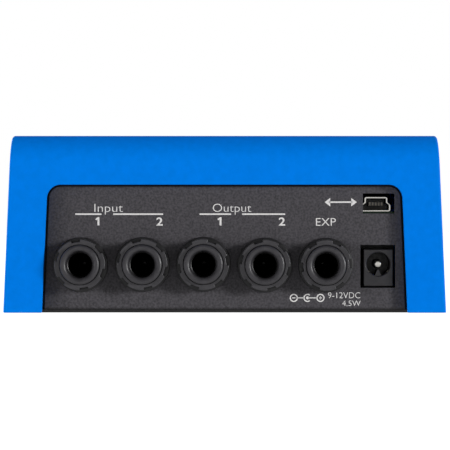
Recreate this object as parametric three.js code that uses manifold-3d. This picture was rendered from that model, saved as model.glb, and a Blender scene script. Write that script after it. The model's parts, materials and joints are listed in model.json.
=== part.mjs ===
// A wedge-shaped preamp pedal: a cast cover over a folded steel tray, five jacks, a USB socket and a
// supply socket on the rear panel, and a knob, a display, four buttons and two footswitches on the
// sloped top.
//
// Millimetres. +Z is up, +Y points out of the rear panel, and the person using it sits at -Y, so +X is
// on their right. The origin is under the middle of the whole object, on the surface that it stands on.

import * as THREE from 'three';
import { mergeVertices } from 'three/addons/utils/BufferGeometryUtils.js';
import Module from 'manifold-3d';

const wasm = await Module();
wasm.setup();

// ---------------------------------------------------------------- driving dimensions

const degrees = THREE.MathUtils.degToRad;

// Case
const CASE_WIDTH = 117.7; // across the lower rim
const CASE_DEPTH = 133; // front rim to rear face
const CASE_HEIGHT = 47.2; // at the highest line of the rear bend
const DRAFT = degrees(2.45); // the sides and the front lean in
const TOP_SLOPE = degrees(7.5); // the top falls towards the user
const REAR_BEND = 8;
const FRONT_BEND = 6;
const WALL = 2;
const GAP = 0.3; // between neighbours that would touch

// Opening in the rear wall, open at the bottom
const OPENING_HALF = 48.6; // half its width at the lower rim
const OPENING_TOP = 34.0;
const OPENING_CORNER = 3.7;

// Tray: bottom plate and rear panel, folded from one sheet
const SHEET = 1.2;
const TRAY_UNDERSIDE = 0.4;
const TRAY_TOP = TRAY_UNDERSIDE + SHEET;
const PANEL_TOP = 38;
const FOLD_RADIUS = 1.6;
const TRAY_INSET = WALL + 0.5; // from the cover's outer face

// Jacks
const JACK_PITCH = 16.35;
const JACK_FIRST_X = 38.35;
const JACK_Z = 12.8;
const JACK_NAMES = ['input_1', 'input_2', 'output_1', 'output_2', 'expression'];
const NUT_TURNS = [40, 44, 9, 46, 4].map(degrees); // how far each nut happens to be turned
const BUSH_REACH = 3.2; // past the case's rear face
const BUSH_RADIUS = 5.25;
const BORE_RADIUS = 3.17; // for a 6.35 mm plug
const BORE_DEPTH = 31.6;
const MOUTH_RADIUS = 4.1;
const MOUTH_DEPTH = 1.1;
const JACK_BODY_WIDTH = 14.6;
const JACK_BODY_HEIGHT = 12;
const JACK_BODY_LENGTH = 28;
const NUT_BORE = 5.55;
const NUT_LOBE = 6.75;
const NUT_NOTCH = 6.1;
const NUT_NOTCHES = 6;
const NUT_NOTCH_WIDTH = 2.6;
const NUT_FLANGE = 7.3;
const NUT_FLANGE_THICK = 0.9;
const NUT_LENGTH = 4.3;
const LEAF = 0.5; // thickness of the tip spring

// Supply socket
const DC_X = -40.9;
const DC_Z = 12.9;
const DC_WIDTH = 7.8;
const DC_BOTTOM = 7;
const DC_TOP = 16.8;
const DC_LENGTH = 14;
const DC_BORE = 3.16;
const DC_BORE_DEPTH = 9.5;
const DC_PIN = 1;
const DC_CUTOUT = { left: -45.4, right: -36.1, bottom: 6.6, top: 18 };

// Mini USB socket
const USB_X = -40.35;
const USB_BOTTOM = 26.9;
const USB_WIDTH = 7.7;
const USB_TOP_WIDTH = 6.1;
const USB_HEIGHT = 3.9;
const USB_SHELL_WALL = 0.4;
const USB_LENGTH = 9.2;
const USB_BASE = { behind: 0.2, thick: 2.2 }; // the insert's block at the back of the shell
const USB_TONGUE = { half: 2, bottom: 1.5, top: 2.6, behindMouth: 1.2 };
const USB_BOARD = { left: -46.5, right: -30, front: 43, behindMouth: 3.2 };
const USB_HEADER = { half: 5, front: 0.5, rear: 3.5 }; // from the USB board's front edge
const USB_CUTOUT = { left: -45.2, right: -36.8, bottom: 26.4, top: 31.7 };

// Boards
const BOARD = 1.6;
const MAIN_BOARD_TOP = 6.5;
const MAIN_BOARD_HALF = 46.5;
const MAIN_BOARD_FRONT = -6;
const CONTROL_BOARD_TOP = -9; // along the top's normal, from its outer face
const CONTROL_BOARD_HALF = 46;
const CONTROL_BOARD_FRONT = -22;
const CONTROL_BOARD_REAR = 51;

// Cover screws, their bosses and the cups pressed into the tray for their heads
const SCREW_X = 50.6;
const SCREW_YS = { front: -60, rear: 55 };
const SCREW_RADIUS = 1.5;
const SCREW_HEAD_RADIUS = 2.8;
const SCREW_HEAD_HEIGHT = 1.9;
const SCREW_TIP = 13;
const CUP_RADIUS = 4.6;
const CUP_RISE = 2;
const BOSS_RADIUS = 3.5;

// Top: from the middle of its outer face, u is X, v runs up the slope to the rear, w is the outward normal
const KNOB = { u: 29, v: -4, radius: 13, height: 7.2, lift: 1 }; // too low to be seen from behind
const RING = { inner: 14.2, outer: 16.4, proud: 0.3, depth: 0.9 };
const DISPLAY = { u: 0, v: 33, width: 76, height: 26, ledge: 2.5, recess: 1.1 };
const BUTTONS = { us: [-42, -28, -14, 0], v: -4, radius: 4.5, flange: 5.6, proud: 1.3, stem: 2 };
const BUTTON_SWITCH = { half: 3, height: 3.5, clearance: 0.8 };
const FOOTSWITCHES = { left: -32, right: 32, v: -40, bush: 6, plunger: 4.6, proud: 9 };
const UNDER_TOP = 0.4; // clear of the cover's inner face

// Sides of a full circle, by how big the round piece is
const COARSE = 10;
const PLAIN = 16;
const MEDIUM = 24;
const FINE = 32;

// ---------------------------------------------------------------- places worked out from them

const HALF_WIDTH = CASE_WIDTH / 2;
const REAR_Y = (CASE_DEPTH - BUSH_REACH) / 2;
const FRONT_Y = REAR_Y - CASE_DEPTH;
const BUSH_TIP_Y = REAR_Y + BUSH_REACH;
const PANEL_FACE = REAR_Y - WALL - GAP;
const PANEL_BACK = PANEL_FACE - SHEET;
const BOARD_REAR = PANEL_BACK - 2 * GAP; // the rear edge of the boards that lie level
const TALL = 80; // longer than any cut needs to be

const rearBendCentre = new THREE.Vector2(REAR_Y - REAR_BEND, CASE_HEIGHT - REAR_BEND);
const topNormal = new THREE.Vector2(-Math.sin(TOP_SLOPE), Math.cos(TOP_SLOPE));
const frontNormal = new THREE.Vector2(-Math.cos(DRAFT), Math.sin(DRAFT));
const topOffset = topNormal.dot(rearBendCentre) + REAR_BEND;
const frontOffset = frontNormal.x * FRONT_Y;

// The point at the given distances inside the top face and the front face, in the YZ plane.
function insideTopAndFront(fromTop, fromFront) {
  const a = topOffset - fromTop;
  const b = frontOffset - fromFront;
  const cross = topNormal.cross(frontNormal);
  return new THREE.Vector2(
    (a * frontNormal.y - b * topNormal.y) / cross,
    (b * topNormal.x - a * frontNormal.x) / cross,
  );
}

const frontBendCentre = insideTopAndFront(FRONT_BEND, FRONT_BEND);

// The group that carries everything mounted on the sloped top.
const topGroup = new THREE.Group();
topGroup.position.set(0, 0, topOffset / Math.cos(TOP_SLOPE));
topGroup.rotation.x = TOP_SLOPE;
topGroup.updateMatrix();

// ---------------------------------------------------------------- solids

// A closed three.js geometry as a solid with its faces pointing out.
function solid(geometry) {
  const bare = geometry.clone();
  bare.deleteAttribute('normal');
  bare.deleteAttribute('uv');
  const merged = mergeVertices(bare, 1e-4);
  const positions = merged.getAttribute('position').array;
  const corner = (i) => new THREE.Vector3().fromArray(positions, 3 * i);
  const triangles = [];
  let volume = 0;
  for (let i = 0; i < merged.index.count; i += 3) {
    const [a, b, c] = merged.index.array.slice(i, i + 3);
    if (a === b || b === c || c === a) continue;
    triangles.push([a, b, c]);
    volume += corner(a).dot(corner(b).cross(corner(c)));
  }
  const facing = volume < 0 ? triangles.map(([a, b, c]) => [a, c, b]) : triangles;
  const mesh = new wasm.Mesh({
    numProp: 3,
    vertProperties: new Float32Array(positions),
    triVerts: new Uint32Array(facing.flat()),
  });
  mesh.merge();
  return new wasm.Manifold(mesh);
}

function geometryOf(shape) {
  const mesh = shape.getMesh();
  const geometry = new THREE.BufferGeometry();
  geometry.setAttribute('position', new THREE.BufferAttribute(mesh.vertProperties, 3));
  geometry.setIndex(new THREE.BufferAttribute(mesh.triVerts, 1));
  const flat = geometry.toNonIndexed();
  flat.computeVertexNormals();
  return flat;
}

const join = (first, ...others) => others.reduce((whole, other) => whole.add(other), first);
const cut = (first, ...others) => others.reduce((whole, other) => whole.subtract(other), first);

// Box between two opposite corners.
function block(low, high) {
  const size = high.map((value, i) => value - low[i]);
  const middle = high.map((value, i) => (value + low[i]) / 2);
  return new THREE.BoxGeometry(...size).translate(...middle);
}

// Upright cylinder at (x, y), from one height to another.
function drum(x, y, radius, from, to, sides = MEDIUM) {
  return new THREE.CylinderGeometry(radius, radius, to - from, sides)
    .rotateX(Math.PI / 2)
    .translate(x, y, (from + to) / 2);
}

// Cylinder along Y at (x, z).
function rod(x, z, radius, from, to, sides = MEDIUM) {
  return new THREE.CylinderGeometry(radius, radius, to - from, sides).translate(x, (from + to) / 2, z);
}

// Profile of [radius, along] points turned about the Z axis, or about Y.
function turned(profile, sides = MEDIUM) {
  return turnedAboutY(profile, sides).rotateX(Math.PI / 2);
}

function turnedAboutY(profile, sides = MEDIUM) {
  const points = profile.map(([radius, along]) => new THREE.Vector2(radius, along));
  return new THREE.LatheGeometry(points, sides);
}

// Outline in the YZ plane, pushed along X.
function extrudeAlongX(shape, from, to, curveSegments = 8) {
  const basis = new THREE.Matrix4().makeBasis(
    new THREE.Vector3(0, 1, 0),
    new THREE.Vector3(0, 0, 1),
    new THREE.Vector3(1, 0, 0),
  );
  return new THREE.ExtrudeGeometry(shape, { depth: to - from, bevelEnabled: false, curveSegments })
    .applyMatrix4(basis)
    .translate(from, 0, 0);
}

// Outline in the XZ plane, pushed along Y.
function extrudeAlongY(shape, from, to, curveSegments = 6) {
  return new THREE.ExtrudeGeometry(shape, { depth: to - from, bevelEnabled: false, curveSegments })
    .rotateX(Math.PI / 2)
    .translate(0, to, 0);
}

function outline(points) {
  return new THREE.Shape(points.map(([a, b]) => new THREE.Vector2(a, b)));
}

// Cylinder on the sloped top at (u, v), in the case's own frame, for cutting the cover.
function topDrum(u, v, radius, from, to, sides = MEDIUM) {
  return solid(drum(u, v, radius, from, to, sides).applyMatrix4(topGroup.matrix));
}

function topBlock(low, high) {
  return solid(block(low, high).applyMatrix4(topGroup.matrix));
}

// ---------------------------------------------------------------- pieces and their materials

const preamp = new THREE.Group();
preamp.name = 'preamp_pedal';
preamp.add(topGroup);

const FINISHES = {
  blue: { color: 0x0278e2, roughness: 0.5, metalness: 0 },
  darkPowder: { color: 0x3b3a3e, roughness: 0.7, metalness: 0 },
  blackPlastic: { color: 0x17171a, roughness: 0.55, metalness: 0 },
  softBlack: { color: 0x202024, roughness: 0.8, metalness: 0 },
  steel: { color: 0xb9bcc0, roughness: 0.3, metalness: 1 },
  nickel: { color: 0xcfd0cc, roughness: 0.25, metalness: 1 },
  brass: { color: 0xc9a55a, roughness: 0.3, metalness: 1 },
  aluminium: { color: 0xc4c7cb, roughness: 0.35, metalness: 1 },
  board: { color: 0x1c5a33, roughness: 0.5, metalness: 0 },
  nylon: { color: 0xe4e2d8, roughness: 0.6, metalness: 0 },
  ribbon: { color: 0x9aa0a8, roughness: 0.6, metalness: 0 },
  diffuser: { color: 0xdfe6ee, roughness: 0.4, metalness: 0 },
  glass: { color: 0x0c0e12, roughness: 0.08, metalness: 0 },
};

function piece(name, shape, finish, group = preamp) {
  const mesh = new THREE.Mesh(geometryOf(shape), new THREE.MeshStandardMaterial(FINISHES[finish]));
  mesh.name = name;
  group.add(mesh);
  return mesh;
}

// ---------------------------------------------------------------- cover

// The case from the side, moved inwards by inset and open downwards to the given height.
function sideOutline(inset, bottom) {
  const shape = new THREE.Shape();
  const frontFoot = FRONT_Y + inset / Math.cos(DRAFT) + bottom * Math.tan(DRAFT);
  const topAngle = Math.PI / 2 + TOP_SLOPE;
  shape.moveTo(frontFoot, bottom);
  shape.lineTo(REAR_Y - inset, bottom);
  shape.absarc(rearBendCentre.x, rearBendCentre.y, REAR_BEND - inset, 0, topAngle);
  shape.absarc(frontBendCentre.x, frontBendCentre.y, FRONT_BEND - inset, topAngle, Math.PI - DRAFT);
  return shape;
}

// Prism whose two sides lean in like the case's sides, moved inwards by inset.
function draftedPrism(inset) {
  const halfAt = (z) => HALF_WIDTH - inset / Math.cos(DRAFT) - z * Math.tan(DRAFT);
  return solid(extrudeAlongY(
    outline([[-halfAt(-1), -1], [halfAt(-1), -1], [halfAt(TALL), TALL], [-halfAt(TALL), TALL]]),
    -CASE_DEPTH,
    CASE_DEPTH,
  ));
}

function caseForm(inset, bottom) {
  const wide = solid(extrudeAlongX(sideOutline(inset, bottom), -CASE_WIDTH, CASE_WIDTH));
  return wide.intersect(draftedPrism(inset));
}

function rearOpening() {
  const cornerZ = OPENING_TOP - OPENING_CORNER;
  const halfAt = (z) => OPENING_HALF - z * Math.tan(DRAFT);
  const cornerX = halfAt(cornerZ) - OPENING_CORNER / Math.cos(DRAFT);
  const shape = new THREE.Shape();
  shape.moveTo(-halfAt(-1), -1);
  shape.lineTo(halfAt(-1), -1);
  shape.absarc(cornerX, cornerZ, OPENING_CORNER, DRAFT, Math.PI / 2);
  shape.absarc(-cornerX, cornerZ, OPENING_CORNER, Math.PI / 2, Math.PI - DRAFT);
  return solid(extrudeAlongY(shape, REAR_Y - WALL - 1, REAR_Y + 1));
}

// A screw boss hangs from the top with a rib to the nearer side wall. Its foot clears the tray's cup.
function screwBoss(x, y) {
  const foot = TRAY_TOP + CUP_RISE + GAP;
  const side = Math.sign(x);
  const ribThickness = 2;
  const rib = block(
    [Math.min(x, side * HALF_WIDTH), y - ribThickness / 2, foot],
    [Math.max(x, side * HALF_WIDTH), y + ribThickness / 2, TALL],
  );
  const boss = join(solid(drum(x, y, BOSS_RADIUS, foot, TALL, COARSE)), solid(rib));
  const pilot = solid(drum(x, y, SCREW_RADIUS + GAP, 0, SCREW_TIP + 1, COARSE));
  return boss.intersect(caseForm(WALL / 2, 0)).subtract(pilot);
}

function screwPlaces() {
  const places = [];
  for (const [end, y] of Object.entries(SCREW_YS)) {
    places.push({ name: `${end}_left`, x: -SCREW_X, y });
    places.push({ name: `${end}_right`, x: SCREW_X, y });
  }
  return places;
}

const POST_RADIUS = 2.5;
const POST_PLACES = [[-43.5, -18], [43.5, -18], [-43.5, 48.5], [43.5, 48.5]];
const SHAFT_RADIUS = 3;
const ENCODER_BUSH = 4.5;

// Everything that passes through the top, as the solids to take away from the cover.
function topCutouts() {
  const { u, v } = DISPLAY;
  const halfWidth = DISPLAY.width / 2;
  const halfHeight = DISPLAY.height / 2;
  const through = WALL + 1;
  const recess = topBlock(
    [u - halfWidth, v - halfHeight, -DISPLAY.recess],
    [u + halfWidth, v + halfHeight, 1],
  );
  const view = topBlock(
    [u - halfWidth + DISPLAY.ledge, v - halfHeight + DISPLAY.ledge, -through],
    [u + halfWidth - DISPLAY.ledge, v + halfHeight - DISPLAY.ledge, 1],
  );
  const grooveFloor = -RING.depth - GAP;
  const groove = cut(
    topDrum(KNOB.u, KNOB.v, RING.outer + GAP, grooveFloor, 1, FINE),
    topDrum(KNOB.u, KNOB.v, RING.inner - GAP, grooveFloor - 1, 2, FINE),
  );
  const holes = [recess, view, groove, topDrum(KNOB.u, KNOB.v, ENCODER_BUSH + GAP, -through, 1)];
  for (const buttonU of BUTTONS.us) {
    holes.push(topDrum(buttonU, BUTTONS.v, BUTTONS.radius + GAP, -through, 1));
  }
  for (const footswitchU of [FOOTSWITCHES.left, FOOTSWITCHES.right]) {
    holes.push(topDrum(footswitchU, FOOTSWITCHES.v, FOOTSWITCHES.bush + GAP, -through, 1));
  }
  return holes;
}

function topCover() {
  const shell = cut(caseForm(0, 0), caseForm(WALL, -1));
  const bosses = screwPlaces().map(({ x, y }) => screwBoss(x, y));
  const posts = POST_PLACES.map(([u, v]) => (
    topDrum(u, v, POST_RADIUS, CONTROL_BOARD_TOP + GAP, -WALL / 2, COARSE)
  ));
  return cut(join(shell, ...bosses, ...posts), rearOpening(), ...topCutouts());
}

piece('top_cover', topCover(), 'blue');

// ---------------------------------------------------------------- tray and cover screws

function trayOutline() {
  const front = FRONT_Y + TRAY_INSET;
  const foldY = PANEL_FACE - FOLD_RADIUS;
  const foldZ = TRAY_UNDERSIDE + FOLD_RADIUS;
  const shape = new THREE.Shape();
  shape.moveTo(front, TRAY_UNDERSIDE);
  shape.lineTo(foldY, TRAY_UNDERSIDE);
  shape.absarc(foldY, foldZ, FOLD_RADIUS, -Math.PI / 2, 0);
  shape.lineTo(PANEL_FACE, PANEL_TOP);
  shape.lineTo(PANEL_BACK, PANEL_TOP);
  shape.absarc(foldY, foldZ, FOLD_RADIUS - SHEET, 0, -Math.PI / 2, true);
  shape.lineTo(front, TRAY_TOP);
  return shape;
}

function panelCutout({ left, right, bottom, top }) {
  return solid(block([left, PANEL_BACK - 1, bottom], [right, PANEL_FACE + 1, top]));
}

function jackX(index) {
  return JACK_FIRST_X - index * JACK_PITCH;
}

function chassisTray() {
  const wide = solid(extrudeAlongX(trayOutline(), -CASE_WIDTH, CASE_WIDTH, 5));
  const sheet = wide.intersect(draftedPrism(TRAY_INSET));
  const places = screwPlaces();
  const cups = places.map(({ x, y }) => (
    solid(drum(x, y, CUP_RADIUS, TRAY_UNDERSIDE + SHEET / 2, TRAY_TOP + CUP_RISE, COARSE))
  ));
  const cupHollows = places.map(({ x, y }) => (
    solid(drum(x, y, CUP_RADIUS - SHEET, -1, TRAY_UNDERSIDE + CUP_RISE, COARSE))
  ));
  const screwHoles = places.map(({ x, y }) => solid(drum(x, y, SCREW_RADIUS + GAP, -1, TALL / 2, COARSE)));
  const jackHoles = JACK_NAMES.map((name, index) => (
    solid(rod(jackX(index), JACK_Z, BUSH_RADIUS + GAP, PANEL_BACK - 1, PANEL_FACE + 1))
  ));
  return cut(
    join(sheet, ...cups),
    ...cupHollows,
    ...screwHoles,
    ...jackHoles,
    panelCutout(DC_CUTOUT),
    panelCutout(USB_CUTOUT),
  );
}

piece('chassis_tray', chassisTray(), 'darkPowder');

// Pan-head screw, head down in the tray's cup.
function coverScrew(x, y) {
  const headTop = TRAY_UNDERSIDE + CUP_RISE - 0.05;
  const headBottom = headTop - SCREW_HEAD_HEIGHT;
  const shoulder = 0.7;
  const profile = [
    [0, headBottom],
    [SCREW_HEAD_RADIUS - shoulder, headBottom],
    [SCREW_HEAD_RADIUS, headBottom + shoulder],
    [SCREW_HEAD_RADIUS, headTop],
    [SCREW_RADIUS, headTop],
    [SCREW_RADIUS, SCREW_TIP - 1],
    [0, SCREW_TIP],
  ];
  return solid(turned(profile, COARSE).translate(x, y, 0));
}

for (const { name, x, y } of screwPlaces()) {
  piece(`cover_screw_${name}`, coverScrew(x, y), 'steel');
}

// ---------------------------------------------------------------- jacks

const JACK_FRONT = PANEL_BACK - GAP; // the housing's face, behind the panel
const CONTACT_SLOT = { halfWidth: 1.8, from: 3.5, to: 12 }; // along Y, from the bore's blind end

function jackBody(x) {
  const boreEnd = BUSH_TIP_Y - BORE_DEPTH;
  const halfWidth = JACK_BODY_WIDTH / 2;
  const halfHeight = JACK_BODY_HEIGHT / 2;
  const rim = 0.5;
  const housing = block(
    [x - halfWidth, JACK_FRONT - JACK_BODY_LENGTH, JACK_Z - halfHeight],
    [x + halfWidth, JACK_FRONT, JACK_Z + halfHeight],
  );
  const bush = turnedAboutY([
    [0, JACK_FRONT - 1],
    [BUSH_RADIUS, JACK_FRONT - 1],
    [BUSH_RADIUS, BUSH_TIP_Y - rim],
    [BUSH_RADIUS - rim, BUSH_TIP_Y],
    [0, BUSH_TIP_Y],
  ]).translate(x, 0, JACK_Z);
  const bore = turnedAboutY([
    [0, boreEnd],
    [BORE_RADIUS, boreEnd],
    [BORE_RADIUS, BUSH_TIP_Y - MOUTH_DEPTH],
    [MOUTH_RADIUS, BUSH_TIP_Y + 0.01],
    [0, BUSH_TIP_Y + 0.01],
  ]).translate(x, 0, JACK_Z);
  const slot = block(
    [x - CONTACT_SLOT.halfWidth, boreEnd + CONTACT_SLOT.from, JACK_Z],
    [x + CONTACT_SLOT.halfWidth, boreEnd + CONTACT_SLOT.to, JACK_Z + JACK_BODY_HEIGHT],
  );
  return cut(join(solid(housing), solid(bush)), solid(bore), solid(slot));
}

// Ring nut: a washer face against the panel and a ring with notches for a pin wrench.
function jackNut(x, turn) {
  const back = PANEL_FACE;
  const flangeFront = back + NUT_FLANGE_THICK;
  const front = back + NUT_LENGTH;
  const edge = 0.4;
  const ring = turnedAboutY([
    [NUT_BORE, back],
    [NUT_FLANGE, back],
    [NUT_FLANGE, flangeFront],
    [NUT_LOBE, flangeFront],
    [NUT_LOBE, front - edge],
    [NUT_LOBE - edge, front],
    [NUT_BORE, front],
    [NUT_BORE, back],
  ]);
  const notches = [];
  for (let i = 0; i < NUT_NOTCHES; i += 1) {
    const notch = block(
      [NUT_NOTCH, flangeFront, -NUT_NOTCH_WIDTH / 2],
      [NUT_LOBE + 1, front + 1, NUT_NOTCH_WIDTH / 2],
    ).rotateY(turn + (i * 2 * Math.PI) / NUT_NOTCHES);
    notches.push(solid(notch.translate(x, 0, JACK_Z)));
  }
  return cut(solid(ring.translate(x, 0, JACK_Z)), ...notches);
}

// Tip spring: a bent leaf that leans into the bore through the slot on top of the housing.
function jackContact(x) {
  const inner = BUSH_TIP_Y - BORE_DEPTH + CONTACT_SLOT.from + GAP;
  const outer = BUSH_TIP_Y - BORE_DEPTH + CONTACT_SLOT.to - GAP;
  const high = JACK_Z + JACK_BODY_HEIGHT / 2 - 1;
  const dip = JACK_Z + BORE_RADIUS - 1;
  const middle = (inner + outer) / 2;
  const dipHalf = 0.5;
  const path = [
    [inner, high],
    [middle - dipHalf, dip],
    [middle + dipHalf, dip],
    [outer, high - 1],
  ];
  const upper = path.map(([y, z]) => [y, z + LEAF]).reverse();
  const shape = outline([...path, ...upper]);
  const halfWidth = CONTACT_SLOT.halfWidth - GAP;
  return solid(extrudeAlongX(shape, x - halfWidth, x + halfWidth));
}

JACK_NAMES.forEach((name, index) => {
  piece(`jack_body_${name}`, jackBody(jackX(index)), 'blackPlastic');
  piece(`jack_nut_${name}`, jackNut(jackX(index), NUT_TURNS[index]), 'blackPlastic');
  piece(`jack_contact_${name}`, jackContact(jackX(index)), 'nickel');
});

// ---------------------------------------------------------------- supply socket

const DC_FACE = PANEL_FACE - 0.4;
const DC_SPRING = {
  slotHalf: 1.4,
  half: 1.1,
  floor: 0.6,
  behindFace: 1.2,
  rise: 2.1,
  fall: 1.2,
  leaf: 0.4,
};

function dcHousing() {
  const body = block(
    [DC_X - DC_WIDTH / 2, DC_FACE - DC_LENGTH, DC_BOTTOM],
    [DC_X + DC_WIDTH / 2, DC_FACE, DC_TOP],
  );
  const bore = rod(DC_X, DC_Z, DC_BORE, DC_FACE - DC_BORE_DEPTH, DC_FACE + 1);
  const pinHole = rod(DC_X, DC_Z, DC_PIN + GAP, DC_FACE - DC_LENGTH - 1, DC_FACE, COARSE);
  const springSlot = block(
    [DC_X - DC_SPRING.slotHalf, DC_FACE - DC_BORE_DEPTH, DC_BOTTOM + DC_SPRING.floor],
    [DC_X + DC_SPRING.slotHalf, DC_FACE - DC_SPRING.behindFace, DC_Z],
  );
  return cut(solid(body), solid(bore), solid(pinHole), solid(springSlot));
}

function dcPin() {
  const tip = DC_FACE - 1;
  const point = 0.5;
  return solid(turnedAboutY([
    [0, DC_FACE - DC_LENGTH],
    [DC_PIN, DC_FACE - DC_LENGTH],
    [DC_PIN, tip - point],
    [DC_PIN / 2, tip],
    [0, tip],
  ], PLAIN).translate(DC_X, 0, DC_Z));
}

// Sleeve contact: a leaf that rises along the floor of the bore.
function dcSpring() {
  const { half, leaf, rise, fall } = DC_SPRING;
  const inner = DC_FACE - DC_BORE_DEPTH + GAP;
  const outer = DC_FACE - DC_SPRING.behindFace - GAP;
  const low = DC_BOTTOM + DC_SPRING.floor + GAP;
  const path = [
    [inner, low],
    [outer - 2, low + rise],
    [outer, low + rise - fall],
  ];
  const upper = path.map(([y, z]) => [y, z + leaf]).reverse();
  const shape = outline([...path, ...upper]);
  return solid(extrudeAlongX(shape, DC_X - half, DC_X + half));
}

piece('dc_jack_housing', dcHousing(), 'blackPlastic');
piece('dc_jack_pin', dcPin(), 'nickel');
piece('dc_jack_spring', dcSpring(), 'nickel');

// ---------------------------------------------------------------- USB socket and its board

const USB_MOUTH = PANEL_BACK - GAP;

// The shell's outline in the XZ plane, moved inwards by inset: wide below, with cut-off upper corners.
function usbOutline(inset) {
  const bottomHalf = USB_WIDTH / 2 - inset;
  const topHalf = USB_TOP_WIDTH / 2 - inset;
  const bottom = USB_BOTTOM + inset;
  const top = USB_BOTTOM + USB_HEIGHT - inset;
  const shoulder = USB_BOTTOM + USB_HEIGHT * 0.55;
  return outline([
    [USB_X - bottomHalf, bottom],
    [USB_X + bottomHalf, bottom],
    [USB_X + bottomHalf, shoulder],
    [USB_X + topHalf, top],
    [USB_X - topHalf, top],
    [USB_X - bottomHalf, shoulder],
  ]);
}

function usbShell() {
  const rear = USB_MOUTH - USB_LENGTH;
  return cut(
    solid(extrudeAlongY(usbOutline(0), rear, USB_MOUTH)),
    solid(extrudeAlongY(usbOutline(USB_SHELL_WALL), rear - 1, USB_MOUTH + 1)),
  );
}

// A block that fills the back of the shell, and a tongue that reaches forward from it.
function usbInsert() {
  const { half, bottom, top, behindMouth } = USB_TONGUE;
  const back = USB_MOUTH - USB_LENGTH + USB_BASE.behind;
  const base = extrudeAlongY(usbOutline(USB_SHELL_WALL + 0.2), back, back + USB_BASE.thick);
  const tongue = block(
    [USB_X - half, back + 1, USB_BOTTOM + bottom],
    [USB_X + half, USB_MOUTH - behindMouth, USB_BOTTOM + top],
  );
  return join(solid(base), solid(tongue));
}

piece('usb_shell', usbShell(), 'nickel');
piece('usb_insert', usbInsert(), 'blackPlastic');
piece('usb_board', solid(block(
  [USB_BOARD.left, USB_BOARD.front, USB_BOTTOM - BOARD],
  [USB_BOARD.right, USB_MOUTH - USB_BOARD.behindMouth, USB_BOTTOM],
)), 'board');
piece('usb_header', solid(block(
  [DC_X - USB_HEADER.half, USB_BOARD.front + USB_HEADER.front, MAIN_BOARD_TOP],
  [DC_X + USB_HEADER.half, USB_BOARD.front + USB_HEADER.rear, USB_BOTTOM - BOARD],
)), 'blackPlastic');

// ---------------------------------------------------------------- main board and what stands on it

const SUPPORT = { radius: 3, stud: 1.4, hole: 1.8, tip: MAIN_BOARD_TOP + 1.6, point: 0.8 };
const SUPPORT_PLACES = {
  front_left: [-42, 0],
  front_right: [42, 0],
  rear_left: [-42, 27],
  rear_right: [42, 27],
};

function mainBoard() {
  const board = block(
    [-MAIN_BOARD_HALF, MAIN_BOARD_FRONT, MAIN_BOARD_TOP - BOARD],
    [MAIN_BOARD_HALF, BOARD_REAR, MAIN_BOARD_TOP],
  );
  const holes = Object.values(SUPPORT_PLACES).map(([x, y]) => (
    solid(drum(x, y, SUPPORT.hole, 0, MAIN_BOARD_TOP + 1, COARSE))
  ));
  return cut(solid(board), ...holes);
}

// Snap-in post: it stands on the tray, and its stud goes through the board.
function boardPost(x, y) {
  const seat = MAIN_BOARD_TOP - BOARD;
  const profile = [
    [0, TRAY_TOP],
    [SUPPORT.radius, TRAY_TOP],
    [SUPPORT.radius, seat],
    [SUPPORT.stud, seat],
    [SUPPORT.stud, SUPPORT.tip - SUPPORT.point],
    [SUPPORT.stud / 2, SUPPORT.tip],
    [0, SUPPORT.tip],
  ];
  return solid(turned(profile, COARSE).translate(x, y, 0));
}

piece('main_board', mainBoard(), 'board');
for (const [name, [x, y]] of Object.entries(SUPPORT_PLACES)) {
  piece(`board_post_${name}`, boardPost(x, y), 'nylon');
}

const CHIP = { left: 14, front: 6, side: 14, height: 1.4 };
const CAPACITOR = { x: -41, y: 37, radius: 4, height: 11 };

piece('processor_chip', solid(block(
  [CHIP.left, CHIP.front, MAIN_BOARD_TOP],
  [CHIP.left + CHIP.side, CHIP.front + CHIP.side, MAIN_BOARD_TOP + CHIP.height],
)), 'blackPlastic');
piece('supply_capacitor', solid(
  drum(CAPACITOR.x, CAPACITOR.y, CAPACITOR.radius, MAIN_BOARD_TOP, MAIN_BOARD_TOP + CAPACITOR.height),
), 'softBlack');

// Flat cable from the underside of the control board down to the main board, in a loose bow.
const RIBBON = { x: -22, halfWidth: 10, halfThickness: 0.4, startV: 10, forward: 6, slack: 12 };

function ribbonCable() {
  const { x, halfWidth, halfThickness, startV, forward, slack } = RIBBON;
  const start = new THREE.Vector3(0, startV, CONTROL_BOARD_TOP - BOARD - GAP).applyMatrix4(topGroup.matrix);
  const end = new THREE.Vector2(start.y - forward, MAIN_BOARD_TOP + GAP);
  const bow = new THREE.CubicBezierCurve(
    new THREE.Vector2(start.y, start.z),
    new THREE.Vector2(start.y, start.z - slack),
    new THREE.Vector2(end.x, end.y + slack),
    end,
  );
  const steps = 12;
  const near = [];
  const far = [];
  for (let i = 0; i <= steps; i += 1) {
    const at = bow.getPoint(i / steps);
    const along = bow.getTangent(i / steps);
    near.push([at.x - along.y * halfThickness, at.y + along.x * halfThickness]);
    far.unshift([at.x + along.y * halfThickness, at.y - along.x * halfThickness]);
  }
  return solid(extrudeAlongX(outline([...near, ...far]), x - halfWidth, x + halfWidth));
}

piece('ribbon_cable', ribbonCable(), 'ribbon');

// ---------------------------------------------------------------- control board, display and buttons

piece('control_board', solid(block(
  [-CONTROL_BOARD_HALF, CONTROL_BOARD_FRONT, CONTROL_BOARD_TOP - BOARD],
  [CONTROL_BOARD_HALF, CONTROL_BOARD_REAR, CONTROL_BOARD_TOP],
)), 'board', topGroup);

function displayWindow() {
  const halfWidth = DISPLAY.width / 2 - GAP;
  const halfHeight = DISPLAY.height / 2 - GAP;
  return solid(block(
    [DISPLAY.u - halfWidth, DISPLAY.v - halfHeight, -DISPLAY.recess + GAP],
    [DISPLAY.u + halfWidth, DISPLAY.v + halfHeight, -0.05],
  ));
}

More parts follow.
